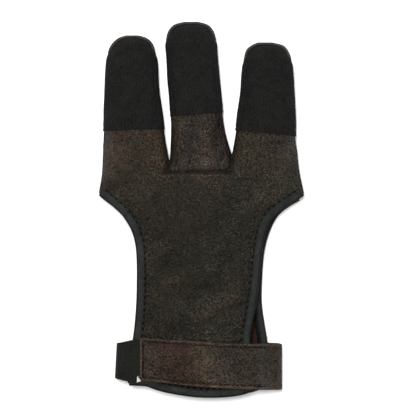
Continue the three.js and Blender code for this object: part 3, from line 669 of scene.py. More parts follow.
class Finish:
    """One surface finish, put together from patterns, colours and relief."""

    def __init__(self, name):
        self.material = bpy.data.materials.new(name)
        self.material.use_nodes = True
        self.tree = self.material.node_tree
        self.shader = self.tree.nodes["Principled BSDF"]
        coordinates = self.tree.nodes.new("ShaderNodeTexCoord")
        self.place = coordinates.outputs["Object"]
        self.normal = coordinates.outputs["Normal"]

    def node(self, kind, values=None, **links):
        node = self.tree.nodes.new(kind)
        for key, value in (values or {}).items():
            if hasattr(node, key):
                setattr(node, key, value)
            else:
                node.inputs[key].default_value = value
        for key, link in links.items():
            self.tree.links.new(link, node.inputs[key.replace("_", " ")])
        return node

    def scaled(self, sx, sy, sz, source=None):
        node = self.node("ShaderNodeMapping", {"Scale": (sx / MM, sy / MM, sz / MM)})
        self.tree.links.new(source or self.place, node.inputs["Vector"])
        return node.outputs["Vector"]

    def turned(self, degrees):
        """The place turned about the vertical, for a grain that runs aslant."""
        values = {"Rotation": (0.0, 0.0, math.radians(degrees))}
        return self.node("ShaderNodeMapping", values, Vector=self.place).outputs["Vector"]

    def noise(self, per_mm, detail=3.0, distortion=0.0, stretch=(1, 1, 1), rough=0.55, source=None):
        vector = self.scaled(*(s * per_mm for s in stretch), source)
        values = {"Scale": 1.0, "Detail": detail, "Roughness": rough, "Distortion": distortion}
        return self.node("ShaderNodeTexNoise", values, Vector=vector).outputs["Fac"]

    def voronoi(self, per_mm, feature="DISTANCE_TO_EDGE", warp=0.35, stretch=(1, 1, 1)):
        vector = self.scaled(*(s * per_mm for s in stretch))
        bend = self.node("ShaderNodeTexNoise", {"Scale": 0.9, "Detail": 2.0}, Vector=vector)
        offset = self.node("ShaderNodeVectorMath", {"operation": "SCALE", "Scale": warp})
        self.tree.links.new(bend.outputs["Color"], offset.inputs[0])
        total = self.node("ShaderNodeVectorMath", {"operation": "ADD"})
        self.tree.links.new(vector, total.inputs[0])
        self.tree.links.new(offset.outputs[0], total.inputs[1])
        cells = self.node("ShaderNodeTexVoronoi", {"feature": feature, "Scale": 1.0})
        self.tree.links.new(total.outputs[0], cells.inputs["Vector"])
        return cells.outputs["Distance"]

    def math(self, operation, a, b=0.0, c=0.0):
        node = self.node("ShaderNodeMath", {"operation": operation})
        for i, value in enumerate((a, b, c)):
            if isinstance(value, (int, float)):
                node.inputs[i].default_value = value
            else:
                self.tree.links.new(value, node.inputs[i])
        return node.outputs[0]

    def range(self, value, low, high, to_low=0.0, to_high=1.0):
        values = {"From Min": low, "From Max": high, "To Min": to_low, "To Max": to_high}
        return self.node("ShaderNodeMapRange", values, Value=value).outputs[0]

    def ramp(self, value, *stops):
        node = self.node("ShaderNodeValToRGB", {}, Fac=value)
        ramp = node.color_ramp
        while len(ramp.elements) < len(stops):
            ramp.elements.new(0.5)
        for element, (position, colour) in zip(ramp.elements, stops):
            element.position = position
            element.color = (*colour, 1)
        return node.outputs["Color"]

    def blend(self, mode, factor, a, b):
        node = self.node("ShaderNodeMix", {"data_type": "RGBA", "blend_type": mode})
        for socket, value in (("Factor", factor), ("A", a), ("B", b)):
            target = [s for s in node.inputs if s.name == socket and s.enabled][0]
            if isinstance(value, (int, float)):
                target.default_value = value
            elif isinstance(value, tuple):
                target.default_value = (*value, 1)
            else:
                self.tree.links.new(value, target)
        return [s for s in node.outputs if s.enabled][0]

    def attribute(self, name):
        node = self.node("ShaderNodeAttribute", {"attribute_name": name})
        return node.outputs["Fac"]

    def times(self, a, b, factor=1.0):
        return self.blend("MULTIPLY", factor, a, b)

    def total(self, *parts):
        """Sum of values, each with its weight."""
        result = 0.0
        for value, weight in parts:
            result = self.math("MULTIPLY_ADD", value, weight, result)
        return result

    def shaded(self, colour, value, stops, unit=1.0):
        """The colour darkened or lightened by a table of shades along a value."""
        low, high = stops[0][0], stops[-1][0]
        share = self.range(value, low * unit, high * unit)
        shades = [((at - low) / (high - low), shade) for at, shade in stops]
        return self.times(colour, self.ramp(share, *shades))

    def bump(self, height, depth_mm, strength=1.0, normal=None):
        node = self.node("ShaderNodeBump", {"Strength": strength, "Distance": depth_mm * MM}, Height=height)
        if normal is not None:
            self.tree.links.new(normal, node.inputs["Normal"])
        return node.outputs["Normal"]

    def set(self, **values):
        """Shader inputs by name, with _ for a space."""
        for key, value in values.items():
            socket = self.shader.inputs[key.replace("_", " ")]
            if isinstance(value, (int, float)):
                socket.default_value = value
            elif isinstance(value, tuple):
                socket.default_value = (*value, 1)
            else:
                self.tree.links.new(value, socket)
        return self.material


def leather(
    name, dark, mid, light, bump=1.0, rough=(0.42, 0.6), stretch=(1, 1, 1), specular=0.2, shades=(),
    bare=None, slant=48,
):
    """Full-grain leather: pebbled cells, wrinkles, pores and cloudy colour."""
    f = Finish(name)
    clouds = f.noise(0.055, 3.0, 0.5)
    patches = f.noise(0.2, 3.0, 0.4, stretch)
    flecks = f.noise(0.85, 1.5, 0.3, stretch)
    grain = f.voronoi(0.95, "F1", 0.4, stretch)
    fine = f.voronoi(1.9, warp=0.5, stretch=stretch)
    wrinkle = f.noise(0.42, 1.5, 1.2, stretch)
    streak = f.noise(1.15, 2.0, 0.5, (0.3, 1, 1), source=f.turned(-slant))
    tone = f.total((clouds, 0.35), (patches, 0.35), (flecks, 0.45))
    colour = f.ramp(f.range(tone, 0.4, 0.75), (0.0, dark), (0.5, mid), (1.0, light))
    warm = f.total((f.noise(0.11, 2.0, 0.4), 0.6), (f.noise(0.75, 1.0, 0.3), 0.4))
    tint = f.ramp(f.range(warm, 0.4, 0.6), (0.0, (0.92, 1.03, 0.94)), (1.0, (1.1, 0.98, 0.98)))
    colour = f.times(colour, tint)
    for axis, stops in shades:
        place = f.node("ShaderNodeSeparateXYZ", {}, Vector=f.place).outputs[axis]
        sway = f.math("MULTIPLY_ADD", f.noise(0.09, 2.0), 9 * MM, f.math("ADD", place, -4.5 * MM))
        colour = f.shaded(colour, sway, stops, MM)
    # Painted highlight on ridges and painted shade in folds, creases, seams and at a finger's sides, carried
    # in the lengthwise place with some patches of the leather's own tone
    fold = f.range(f.attribute("along"), -0.8, 0.8)
    fold_light = f.ramp(fold, (0.0, (0.64, 0.62, 0.6)), (0.5, WHITE), (1.0, (1.52, 1.48, 1.44)))
    colour = f.times(colour, fold_light)
    if bare:
        raw = f.ramp(flecks, (0.3, tuple(0.55 * c for c in bare)), (0.7, bare))
        colour = f.blend("MIX", f.range(f.attribute("across"), 0.0, 0.85), colour, raw)
    colour = f.times(colour, f.ramp(streak, (0.35, (0.82, 0.82, 0.84)), (0.65, WHITE)))
    # Painted shade in the crevices between the pebbles and painted highlight on their tops, following the
    # grain's relief
    crevice = f.ramp(f.range(grain, 0.3, 0.75), (0.0, (1.3, 1.3, 1.28)), (1.0, (0.5, 0.5, 0.5)))
    colour = f.times(colour, crevice)
    pebble = f.math("MULTIPLY", f.math("MULTIPLY", grain, grain), -1.0)
    normal = f.bump(f.noise(0.13, 2.0, 0.8), 0.9 * bump)
    for height, depth in ((wrinkle, 0.12), (streak, 0.1), (pebble, 0.62), (f.range(fine, 0.0, 0.2), 0.04)):
        normal = f.bump(height, depth * bump, 1.0, normal)
    gloss = f.total((patches, 0.6), (clouds, 0.5))
    roughness = f.range(gloss, 0.42, 0.66, rough[1], rough[0])
    roughness = f.math("SUBTRACT", roughness, f.range(fold, 0.5, 1.0, 0.0, 0.1))
    up = f.node("ShaderNodeSeparateXYZ", {}, Vector=f.normal).outputs["Z"]
    steep = f.range(f.math("ABSOLUTE", up), 0.88, 0.35)
    roughness = f.math("MULTIPLY_ADD", steep, f.math("SUBTRACT", 0.95, roughness), roughness)
    # Painted shade: the colour darkens towards black where the surface turns steep
    colour = f.times(colour, BLACK, f.math("MULTIPLY", steep, 0.6))
    return f.set(Base_Color=colour, Roughness=roughness, Normal=normal, Specular_IOR_Level=specular)


def suede(name, dark, light, depth=0.2):
    """Flesh side or cut edge of leather: short matted fibres."""
    f = Finish(name)
    nap = f.noise(2.2, 4.0, 0.8, rough=0.7)
    tone = f.total((nap, 0.6), (f.noise(0.25, 3.0, 0.4), 0.4))
    colour = f.ramp(f.range(tone, 0.32, 0.68), (0.0, dark), (1.0, light))
    f.set(Base_Color=colour, Roughness=0.95, Normal=f.bump(nap, depth, 0.8))
    return f.set(Specular_IOR_Level=0.1, Sheen_Weight=0.03)


def ribbed(name, dark, light, ribs):
    """Ribbed cloth: fine threads across the modelled ribs."""
    f = Finish(name)
    wave = f.math("SINE", f.math("MULTIPLY", f.attribute("across"), ribs * 2 * math.pi))
    cross = f.math("SINE", f.math("MULTIPLY", f.attribute("along"), 2 * math.pi / THREAD_PITCH))
    weave = f.math("MULTIPLY", wave, cross)
    fuzz = f.noise(1.3, 3.0, 0.5, rough=0.7)
    # The wave's small share paints faint light and shade across the ribs; on the stalls it follows their
    # modelled ribs
    tone = f.total((fuzz, 0.75), (f.noise(0.14, 3.0, 0.3), 0.2), (wave, 0.02), (weave, 0.05))
    colour = f.ramp(f.range(tone, 0.32, 0.62), (0.0, dark), (1.0, light))
    height = f.total((fuzz, 1.8), (weave, 0.35))
    f.set(Base_Color=colour, Roughness=0.85, Normal=f.bump(height, 0.14, 0.8))
    return f.set(Specular_IOR_Level=0.12)


def smooth_tape(name, shades):
    """Woven bias tape with a soft sheen and a fine uneven weave."""
    f = Finish(name)
    weave = f.noise(1.5, 2.0, 0.4, rough=0.6)
    cloud = f.noise(0.2, 3.0, 0.3)
    tone = f.total((weave, 0.65), (cloud, 0.35))
    colour = f.ramp(f.range(tone, 0.36, 0.64), (0.0, (0.007, 0.0076, 0.007)), (1.0, (0.027, 0.029, 0.0262)))
    # Painted light and shade across the tape, from its table
    colour = f.shaded(colour, f.attribute("across"), [(at, (shade,) * 3) for at, shade in shades])
    roughness = f.range(cloud, 0.3, 0.7, 0.6, 0.75)
    f.set(Base_Color=colour, Roughness=roughness, Normal=f.bump(weave, 0.22, 0.8))
    return f.set(Specular_IOR_Level=0.12)


def napped(name, dark, light, tab_shadow):
    """Hook-and-loop tape: dense tangled loops, with the tab's shadow painted dark where the tab's end lies
    over them.
    """
    f = Finish(name)
    tone = f.total((f.voronoi(2.4, "F1", 0.9), 0.4), (f.noise(3.2, 4.0, 1.2, rough=0.7), 0.6))
    colour = f.ramp(f.range(tone, 0.3, 0.75), (0.0, dark), (1.0, light))
    colour = f.blend("MIX", f.attribute("along"), colour, tab_shadow)
    f.set(Base_Color=colour, Roughness=0.95, Normal=f.bump(tone, 0.3, 0.9))
    return f.set(Specular_IOR_Level=0.2, Sheen_Weight=0.3)


def thread(name, dark, light):
    """Twisted sewing thread."""
    f = Finish(name)
    values = {"Scale": 1.0, "Distortion": 1.0}
    twist = f.node("ShaderNodeTexWave", values, Vector=f.scaled(1.6, 1.6, 1.6)).outputs["Fac"]
    colour = f.ramp(twist, (0.0, dark), (1.0, light))
    f.set(Base_Color=colour, Roughness=0.55, Normal=f.bump(twist, 0.05, 0.6))
    return f.set(Specular_IOR_Level=0.15)


# Shades along and across the glove: place in millimetres, then the shade
HAND_SHADES = [
    (-100, (0.95, 0.96, 0.98)),
    (-70, (1.0, 1.02, 1.02)),
    (-45, (1.1, 1.1, 1.08)),
    (-25, (0.92, 0.96, 0.9)),
    (0, (1.0, 0.98, 0.92)),
    (14, (1.25, 1.18, 1.14)),
    (30, (1.65, 1.48, 1.42)),
    (50, (1.7, 1.52, 1.5)),
]
HAND_SIDE_SHADES = [
    (-56, (1.1, 0.92, 0.85)),
    (-36, (1.12, 1.01, 0.98)),
    (-15, (1.08, 1.02, 1.02)),
    (10, (1.0, 1.0, 1.0)),
    (34, (0.97, 1.0, 1.02)),
    (56, (0.96, 1.01, 1.04)),
]
# Along the tab: painted highlights in its light bands and painted shade in its dark ones, with some of the
# leather's own redder tone
STRAP_PAINTED_LIGHT = [
    (-34, (1.02, 1.0, 1.05)),
    (-28, (1.42, 1.33, 1.4)),
    (-20, (1.07, 0.89, 0.88)),
    (-12, (0.98, 0.74, 0.66)),
    (-5, (1.25, 1.2, 1.06)),
    (1, (1.86, 1.9, 1.74)),
    (7, (1.34, 1.4, 1.5)),
    (18, (1.06, 1.14, 1.2)),
    (32, (0.99, 1.09, 1.06)),
    (43, (1.03, 1.08, 1.08)),
]
HAND_LEATHER = leather(
    "hand_leather", (0.0048, 0.004, 0.0025), (0.0116, 0.0098, 0.0064), (0.021, 0.0178, 0.0122),
    rough=(0.25, 0.42), specular=0.38, shades=[("Y", HAND_SHADES), ("X", HAND_SIDE_SHADES)],
)
FINGER_LEATHER = leather(
    "finger_leather", (0.0055, 0.0036, 0.0022), (0.0142, 0.0097, 0.0062), (0.027, 0.0192, 0.0132),
    0.9, (0.28, 0.42), (1, 0.8, 1), 0.5, slant=82,
)
STRAP_LEATHER = leather(
    "strap_leather", (0.011, 0.007, 0.0048), (0.0225, 0.016, 0.0115), (0.04, 0.03, 0.0225),
    1.1, (0.28, 0.45), specular=0.34, shades=[("X", STRAP_PAINTED_LIGHT)], bare=(0.088, 0.058, 0.042), slant=70,
)
SUEDE = suede("suede", (0.009, 0.0048, 0.0034), (0.025, 0.0135, 0.01))
CUT_EDGE = suede("cut_edge", (0.02, 0.0125, 0.0085), (0.052, 0.033, 0.024), 0.12)
TIP_EDGE = suede("tip_edge", (0.014, 0.0108, 0.01), (0.044, 0.0375, 0.035), 0.12)
STALL_CLOTH = ribbed("stall_cloth", (0.0022, 0.0023, 0.0022), (0.0135, 0.0138, 0.013), RIBS_ACROSS)
ELASTIC_CLOTH = ribbed("elastic_cloth", (0.0042, 0.0045, 0.0036), (0.0145, 0.0153, 0.0124), ELASTIC_BANDS)

# Painted light and shade across a tape: dark on its rolled outer edge, lit on its top and inner margin,
# shaded by its stitch groove; place in millimetres from the panel's edge inwards, then the shade
TAPE_PAINTED_LIGHT = [
    (-1.15, 0.15),
    (-0.35, 0.3),
    (0.15, 0.95),
    (1.6, 1.05),
    (2.8, 0.9),
    (3.3, 0.8),
    (3.8, 0.9),
    (4.0, 1.3),
    (4.25, 0.9),
]
# On the palm's tapes: a dark outer edge, a lit band, and painted shadow over their inner part
PALM_TAPE_PAINTED_LIGHT = [
    (-1.15, 0.3),
    (-0.7, 0.5),
    (-0.2, 0.95),
    (0.8, 1.0),
    (1.3, 0.85),
    (1.8, 0.5),
    (2.3, 0.35),
    (3.65, 0.4),
]
TAPE = smooth_tape("binding_tape", TAPE_PAINTED_LIGHT)
PALM_TAPE = smooth_tape("palm_binding_tape", PALM_TAPE_PAINTED_LIGHT)
# the last colour is the tab's painted shadow on the patch
CREAM = napped("cream_nap", (0.38, 0.37, 0.32), (0.66, 0.65, 0.58), (0.012, 0.0085, 0.007))
BLACK_THREAD = thread("black_thread", (0.001, 0.001, 0.001), (0.004, 0.004, 0.004))
GREY_THREAD = thread("grey_thread", (0.009, 0.009, 0.0095), (0.024, 0.024, 0.025))
PALE_THREAD = thread("pale_thread", (0.05, 0.04, 0.036), (0.13, 0.11, 0.1))
BROWN_THREAD = thread("brown_thread", (0.004, 0.003, 0.0025), (0.014, 0.0095, 0.0075))


# Leather panels
def outer_back(finger, u, x, y):
    """Back leather with its detail: the middle finger's base seam is drawn in."""
    left, right = notch_side("left", y), notch_side("right", y)
    beside = np.maximum(left - x, x - right)
    crotch = np.where(x < MIDDLE_CENTRE, root_points[1][1], root_points[2][1])
    outside = np.hypot(np.maximum(notch_y - y, 0), np.maximum(beside, 0))
    seam = np.where(y < crotch + 1, outside, np.inf)
    return back_point(finger, u, x, y, detail=leather_detail(x, y, seam, 1.0))


def middle_back(finger, u, x, y):
    crotch = mix(roots[finger]["left"][1], roots[finger]["right"][1], (1 + u) / 2)
    seam = y - notch_y - GAP
    side = np.minimum(x - notch_side("left", y), notch_side("right", y) - x)
    seam = np.where(y < crotch, np.minimum(seam, side), seam)
    return back_point(finger, u, x, y, detail=leather_detail(x, y, seam))


def back_side(finger, side, y):
    """Side of an outer finger's leather, with the middle finger's notch cut out."""
    inner = hand_edge("back", side, y) if finger == side else notch_side(finger, y)
    return np.where(y >= roots[finger][side][1], finger_side(finger, side, y), inner)


def stall_bottom(finger, by=0.0):
    """Heights of a stall's lower edge at its left and right."""
    left, right = STALL_LENGTHS[finger]
    return FINGER_TIPS[finger] - left + by, FINGER_TIPS[finger] - right + by


def hand_columns():
    """The finger that each column over the hand belongs to, and its place across that finger."""
    names, us = [], []
    for name in FINGERS:
        steps = around(COLUMNS)[0 if name == "left" else 1:]
        names += [name] * len(steps)
        us += list(steps)
    return names, np.array(us)


def back_panel():
    names, us = hand_columns()
    line = []
    for name, u in zip(names, us):
        side = notch_side if name == "middle" else partial(back_side, name)
        ends = float(side("left", notch_y)), float(side("right", notch_y))
        line.append((mix(*ends, (1 + u) / 2), notch_y))
    t = np.linspace(0, 1, HAND_STEPS + 1)
    patches = [hand_patch("back", outer_back, np.array(line), names, us, t * mix(0.3, 1, t))]
    rows = np.linspace(0, 1, 34)
    for finger in ("left", "right"):
        top = stall_bottom(finger, -GAP)
        sides = partial(back_side, finger)
        patches.append(finger_patch(outer_back, finger, (notch_y, notch_y), top, sides, rows))
    materials = [HAND_LEATHER, SUEDE, HAND_LEATHER]
    return sheet("back_leather", [with_painted_light(patch) for patch in patches], materials, 0.2)


def middle_piece():
    def sides(name, y):
        root = roots["middle"][name]
        inset = (GAP if name == "left" else -GAP) * (1 - smooth((y - root[1]) / 10))
        return np.where(y < root[1], notch_side(name, y), finger_side("middle", name, y)) + inset

    bottom = (notch_y + GAP, notch_y + GAP)
    t = np.linspace(0, 1, 61)
    rows = t * mix(0.4, 1, t)
    patch = finger_patch(middle_back, "middle", bottom, stall_bottom("middle", -GAP), sides, rows)
    return sheet("middle_finger_leather", [with_painted_light(patch)], [FINGER_LEATHER, SUEDE, FINGER_LEATHER], 0.2)


def tip_share(finger, y):
    """0 to 1 where the palm leather's rim comes into sight towards a fingertip."""
    return smooth((y - FINGER_TIPS[finger] + TIP_RUN) / TIP_GROWTH)


def palm_rim_point(finger, u, x, y):
    return palm_point(finger, u, x, y, TIP_LIP * tip_share(finger, y))


def palm_panel():
    names, us = hand_columns()
    line = []
    for name, u in zip(names, us):
        a, b = roots[name]["left"], roots[name]["right"]
        line.append((mix(a[0], b[0], (1 + u) / 2), mix(a[1], b[1], (1 + u) / 2)))
    rows = np.linspace(0, 1, 111)
    patches = [hand_patch("palm", palm_point, np.array(line), names, us, rows)]
    for finger in FINGERS:
        bottom = roots[finger]["left"][1], roots[finger]["right"][1]
        top = (FINGER_TIPS[finger],) * 2
        sides = partial(finger_side, finger)
        patches.append(finger_patch(palm_rim_point, finger, bottom, top, sides, bent_rows(71)))
    materials = [SUEDE, HAND_LEATHER, TIP_EDGE]
    return sheet("palm_leather", [with_painted_light(patch) for patch in patches], materials, 0.2)


def bent_rows(count):
    """Shares from 0 to 1, closer together towards the tip."""
    return np.sin(np.linspace(0, 1, count) * np.pi / 2)


def stall(finger):
    """Ribbed cloth fingertip whose lower edge laps over the leather."""
    bottom = stall_bottom(finger)
    start = stall_bottom(finger, -STALL_LAP)
    ribs = np.linspace(0, 1, RIBS_ACROSS * 4 + 1)

    def point(name, u, x, y):
        share = np.arccos(clamp(-u, -1, 1)) / np.pi
        above = y - mix(bottom[0], bottom[1], (1 + u) / 2)
        wall = mix(STALL_LAP_WALL, STALL_WALL, smooth((above - 0.3) / 1.2))
        fade = smooth((FINGER_TIPS[name] - y) / 5)
        rib = RIB_RISE * np.cos(share * RIBS_ACROSS * 2 * np.pi) * mix(0.4, 1, fade)
        uneven = 0.12 * noise(x, y, 8, 21) + 0.05 * noise(x, y, 3, 22)
        hem = STALL_HEM_DEPTH * bell(above + STALL_LAP - STALL_HEM, 0.5)
        seam = SIDE_SEAM_DEPTH * bell(half[name] * (1 - np.abs(u)) - SIDE_SEAM, 0.55)
        proud = mix(STALL_PROUD, -TIP_INSET, tip_share(name, y))
        return back_point(name, u, x, y, wall, proud, rib + uneven - hem - seam)

    rows = bent_rows(81)
    top = (FINGER_TIPS[finger],) * 2
    columns = -np.cos(np.pi * ribs)
    up, low, _, _ = finger_patch(point, finger, start, top, partial(finger_side, finger), rows, columns)
    patch = (up, low, np.repeat(ribs[None, :], len(rows), axis=0), up[..., 1])
    return sheet("stall_cloth_" + finger, [patch], [STALL_CLOTH] * 3, 0.25)


def tip_seam_path(finger):
    """Round a fingertip, on the palm leather's rim beside the stall."""
    y = FINGER_TIPS[finger] - TIP_SEAM_RUN * (1 - bent_rows(60))
    left, right = (np.column_stack([finger_side(finger, side, y), y]) for side in ("left", "right"))
    path = np.concatenate([left, right[::-1]])
    along = np.gradient(path, axis=0)
    along /= np.linalg.norm(along, axis=1)[:, None] + 1e-9
    path = path + TIP_SEAM_INSET * np.stack([along[:, 1], -along[:, 0]], axis=-1)
    z = np.full(len(path), SEAM_HEIGHT + 0.1)
    return np.column_stack([path, z]), np.tile(UPWARD, (len(path), 1))


def stall_seam_paths(finger):
    """Down both sides of a stall, in its side seams."""
    rows = []
    for sign, bottom in zip((-1, 1), stall_bottom(finger)):
        y = np.linspace(FINGER_TIPS[finger] - TIP_ROUND, bottom + 0.5, 70)
        u = np.full_like(y, sign * (1 - SIDE_SEAM / half[finger]))
        left, right = finger_side(finger, "left", y), finger_side(finger, "right", y)
        x = mix(left, right, (1 + u) / 2)
        points = back_point(finger, u, x, y, STALL_WALL, STALL_PROUD, -0.2)[0]
        rows.append((points, np.tile([sign * 0.75, 0, 0.66], (len(y), 1))))
    return rows


def base_seam_path():
    """Along the middle finger's base seam, in its groove."""
    left, right = float(notch_side("left", notch_y)), float(notch_side("right", notch_y))
    x = np.linspace(left + 0.8, right - 0.8, 80)
    u = 2 * (x - left) / (right - left) - 1
    points = middle_back("middle", u, x, np.full_like(x, notch_y + 0.75))[0]
    return points, np.tile(UPWARD, (len(x), 1))


# Bindings
def side_places(panel, side, start, end, count):
    """Places down a panel's side edge, or up it on the right."""
    t = np.linspace(0, 1, count + 1) ** 1.3
    y = mix(start, end, t)
    places = np.stack([hand_edge(panel, side, y), y], axis=-1)
    return places if side == "left" else places[::-1]


def hem_places(panel, count):
    """Places along a panel's hem, from left to right."""
    share = np.linspace(0, 1, count + 1)
    left = float(hand_edge(panel, "left", hem_at(0)))
    right = float(hand_edge(panel, "right", hem_at(1)))
    return np.stack([mix(left, right, share), hem_at(share)], axis=-1)


def edge_frames(places, point, inside):
    """Origin, inward and upward directions along a panel's edge, on its middle surface."""

    def middle(x, y):
        upper, lower = point("middle", 0.0, x, y)
        return np.stack([x, y, (upper[..., 2] + lower[..., 2]) / 2], axis=-1)

    along = np.gradient(places, axis=0)
    along /= np.linalg.norm(along, axis=1)[:, None]
    origin = middle(places[:, 0], places[:, 1])
    target = middle(places[:, 0] - along[:, 1] * inside, places[:, 1] + along[:, 0] * inside)
    inward = target - origin
    inward /= np.linalg.norm(inward, axis=1)[:, None]
    forward = np.stack([along[:, 0], along[:, 1], 0 * along[:, 0]], axis=-1)
    up = np.cross(forward, inward)
    return origin, inward, up / np.linalg.norm(up, axis=1)[:, None]


def distances(points):
    return np.concatenate([[0], np.cumsum(np.linalg.norm(np.diff(points, axis=0), axis=1))])


def sweep(name, frames, outline, materials, wobble):
    """Closed solid swept along frames; the outline lists places inward and upward."""
    origin, inward, up = frames
    outline = np.array(outline, dtype=float)
    n, rows = len(outline), len(origin)
    points = (
        origin[:, None]
        + inward[:, None] * outline[None, :, 0, None]
        + up[:, None] * (outline[None, :, 1] * wobble)[..., None]
    ).reshape(-1, 3)
    faces = []
    for j in range(rows - 1):
        for i in range(n):
            a, b = j * n + i, j * n + (i + 1) % n
            faces.append([a, b, b + n, a + n])
    faces.append(list(range(n))[::-1])
    faces.append(list(range((rows - 1) * n, rows * n)))
    places = {"along": np.repeat(distances(origin), n), "across": np.tile(outline[:, 0], rows)}
    return mesh_object(name, points, faces, materials, None, places)


def binding(name, places, point, tape, slump=0.0):
    """Folded tape: a puffed rounded edge, a sewn valley and a thin inner margin. A slump makes its
    outer edge fall away sooner."""
    nose = BINDING_SLACK + BINDING_WALL
    inside = BINDING_WIDTH - nose + TAPE_SPREAD
    frames = edge_frames(places, point, inside)
    slot = LEATHER / 2 + 0.1
    stitch = STITCH_INSET - nose + TAPE_SPREAD
    upper = [
        (inside, slot + 0.05),
        (inside - 0.08, slot + 0.3),
        (inside - 0.22, slot + 0.34),
        (stitch + 0.2, slot + 0.12),
        (stitch, slot + 0.02),
        (stitch - 0.2, slot + 0.12),
        (stitch - 0.45, slot + 0.5),
        (stitch - 0.8, slot + 0.78),
        (stitch - 1.5, slot + 0.92),
        (1.1, slot + 0.95),
        (0.2, slot + 0.93 - 0.25 * slump),
        (-0.4, slot + 0.82 - 0.4 * slump),
        (-0.85, slot + 0.5 - 0.3 * slump),
        (-1.1, slot * 0.6),
        (-nose, 0.0),
    ]
    lower = [(d, -h) for d, h in reversed(upper[:-1])]
    mouth, fold = inside - 0.05, -BINDING_SLACK * 0.4
    inner = [(mouth, -slot), (fold, -slot), (fold, slot), (mouth, slot)]
    outline = (upper + lower + inner)[::-1]
    travelled = distances(frames[0])
    ripple = 1 + 0.012 * np.sin(2 * np.pi * travelled / STITCH_PITCH)
    ripple = ripple + 0.04 * noise(travelled, 0.0, 7, 31)
    wobble = np.repeat(ripple[:, None], len(outline), axis=1)
    obj = sweep(name, frames, outline, [tape], wobble)
    sites = frames[0] + frames[1] * stitch + frames[2] * (slot + 0.3)
    return obj, sites, frames[2]


# Stitches
UPWARD = [0.0, 0.0, 1.0]


def dash(length, radius, sides=6, rings=5):
    """Capsule along +X that sits on z = 0 and dips at both ends."""
    t = np.linspace(-1, 1, rings)
    points, faces = [(-length / 2, 0, -radius * 0.6)], []
    for s in t:
        r = radius * math.sqrt(max(1 - (0.86 * s) ** 2, 0.05))
        lift = radius * 0.9 * (1 - s * s) - radius * 0.35
        for k in range(sides):
            angle = 2 * math.pi * k / sides
            points.append((s * length * 0.46, r * math.cos(angle), lift + r * math.sin(angle)))
    points.append((length / 2, 0, -radius * 0.6))
    last = len(points) - 1
    for k in range(sides):
        faces.append([0, 1 + (k + 1) % sides, 1 + k])
        faces.append([last, last - sides + k, last - sides + (k + 1) % sides])
    for j in range(rings - 1):
        for k in range(sides):
            a, b = 1 + j * sides + k, 1 + j * sides + (k + 1) % sides
            faces.append([a, b, b + sides, a + sides])
    return np.array(points), faces


def sample(table, travelled, at):
    """The table's row at a distance along a path, between its own rows."""
    return np.array([np.interp(at, travelled, column) for column in table.T])


def stitches(name, rows, material, length=STITCH_LENGTH, pitch=STITCH_PITCH, radius=STITCH_RADIUS):
    """Joined row of stitches along paths, each with its points and normals."""
    shape, shape_faces = dash(length, radius)
    points, faces = [], []
    random = np.random.RandomState(7)
    for path, normals in rows:
        travelled = distances(path)
        for at in np.arange(pitch / 2, travelled[-1] - pitch / 2, pitch):
            start, end = (sample(path, travelled, at + shift * length) for shift in (-0.5, 0.5))
            tangent = (end - start) / np.linalg.norm(end - start)
            side = np.cross(sample(normals, travelled, at), tangent)
            side /= np.linalg.norm(side)
            turn = random.uniform(-0.06, 0.06)
            forward = tangent * math.cos(turn) + side * math.sin(turn)
            sideways = side * math.cos(turn) - tangent * math.sin(turn)
            base = len(points) * len(shape)
            axes = np.stack([forward, sideways, np.cross(tangent, side)])
            points.append(sample(path, travelled, at) + shape @ axes)
            faces += [[k + base for k in face] for face in shape_faces]
    return mesh_object(name, np.concatenate(points), faces, [material])


# Strap, elastic and patch
def strap_y(x):
    """The strap's centre line."""
    return strap_level + STRAP_SLOPE * (x - tab_end)


def cover_of(x, y):
    """Height that the hem's tape adds under the strap and the patch."""
    left, right = hand_edge("back", "left", y), hand_edge("back", "right", y)
    hem = hem_at(clamp((x - left) / (right - left)))
    return (GAP + BINDING_WALL) * smooth((hem + BINDING_WIDTH + 3.5 - y) / 4)


def strap_under(x, y):
    """Height of the strap's underside over the back and on to its fold."""
    edge = hand_edge("back", "right", y)
    on_panel = back_top(np.minimum(x, edge), y) + cover_of(x, y) + 2 * GAP + PATCH_WALL
    fold_start = strap_fold - FOLD_ROUND
    clear = edge + GAP + BINDING_WALL
    return mix(on_panel, FOLD_HEIGHT - STRAP_WALL, smooth((x - clear) / (fold_start - clear)))


def elastic_under(x, y):
    """Height of the elastic's underside over the back and on to its fold."""
    edge = hand_edge("back", "left", y)
    on_panel = back_top(np.maximum(x, edge), y) + 2 * GAP + BINDING_WALL
    fold_start = elastic_fold + FOLD_ROUND
    clear = edge - GAP - BINDING_WALL
    return mix(on_panel, ELASTIC_FOLD_HEIGHT - ELASTIC_WALL, smooth((clear - x) / (clear - fold_start)))


def cut(corner, gone):
    """How much a cut corner takes off an edge, this far from the band's end."""
    run, rise = corner
    return rise * (1 - math.sqrt(1 - max(1 - gone / run, 0.0) ** 2))


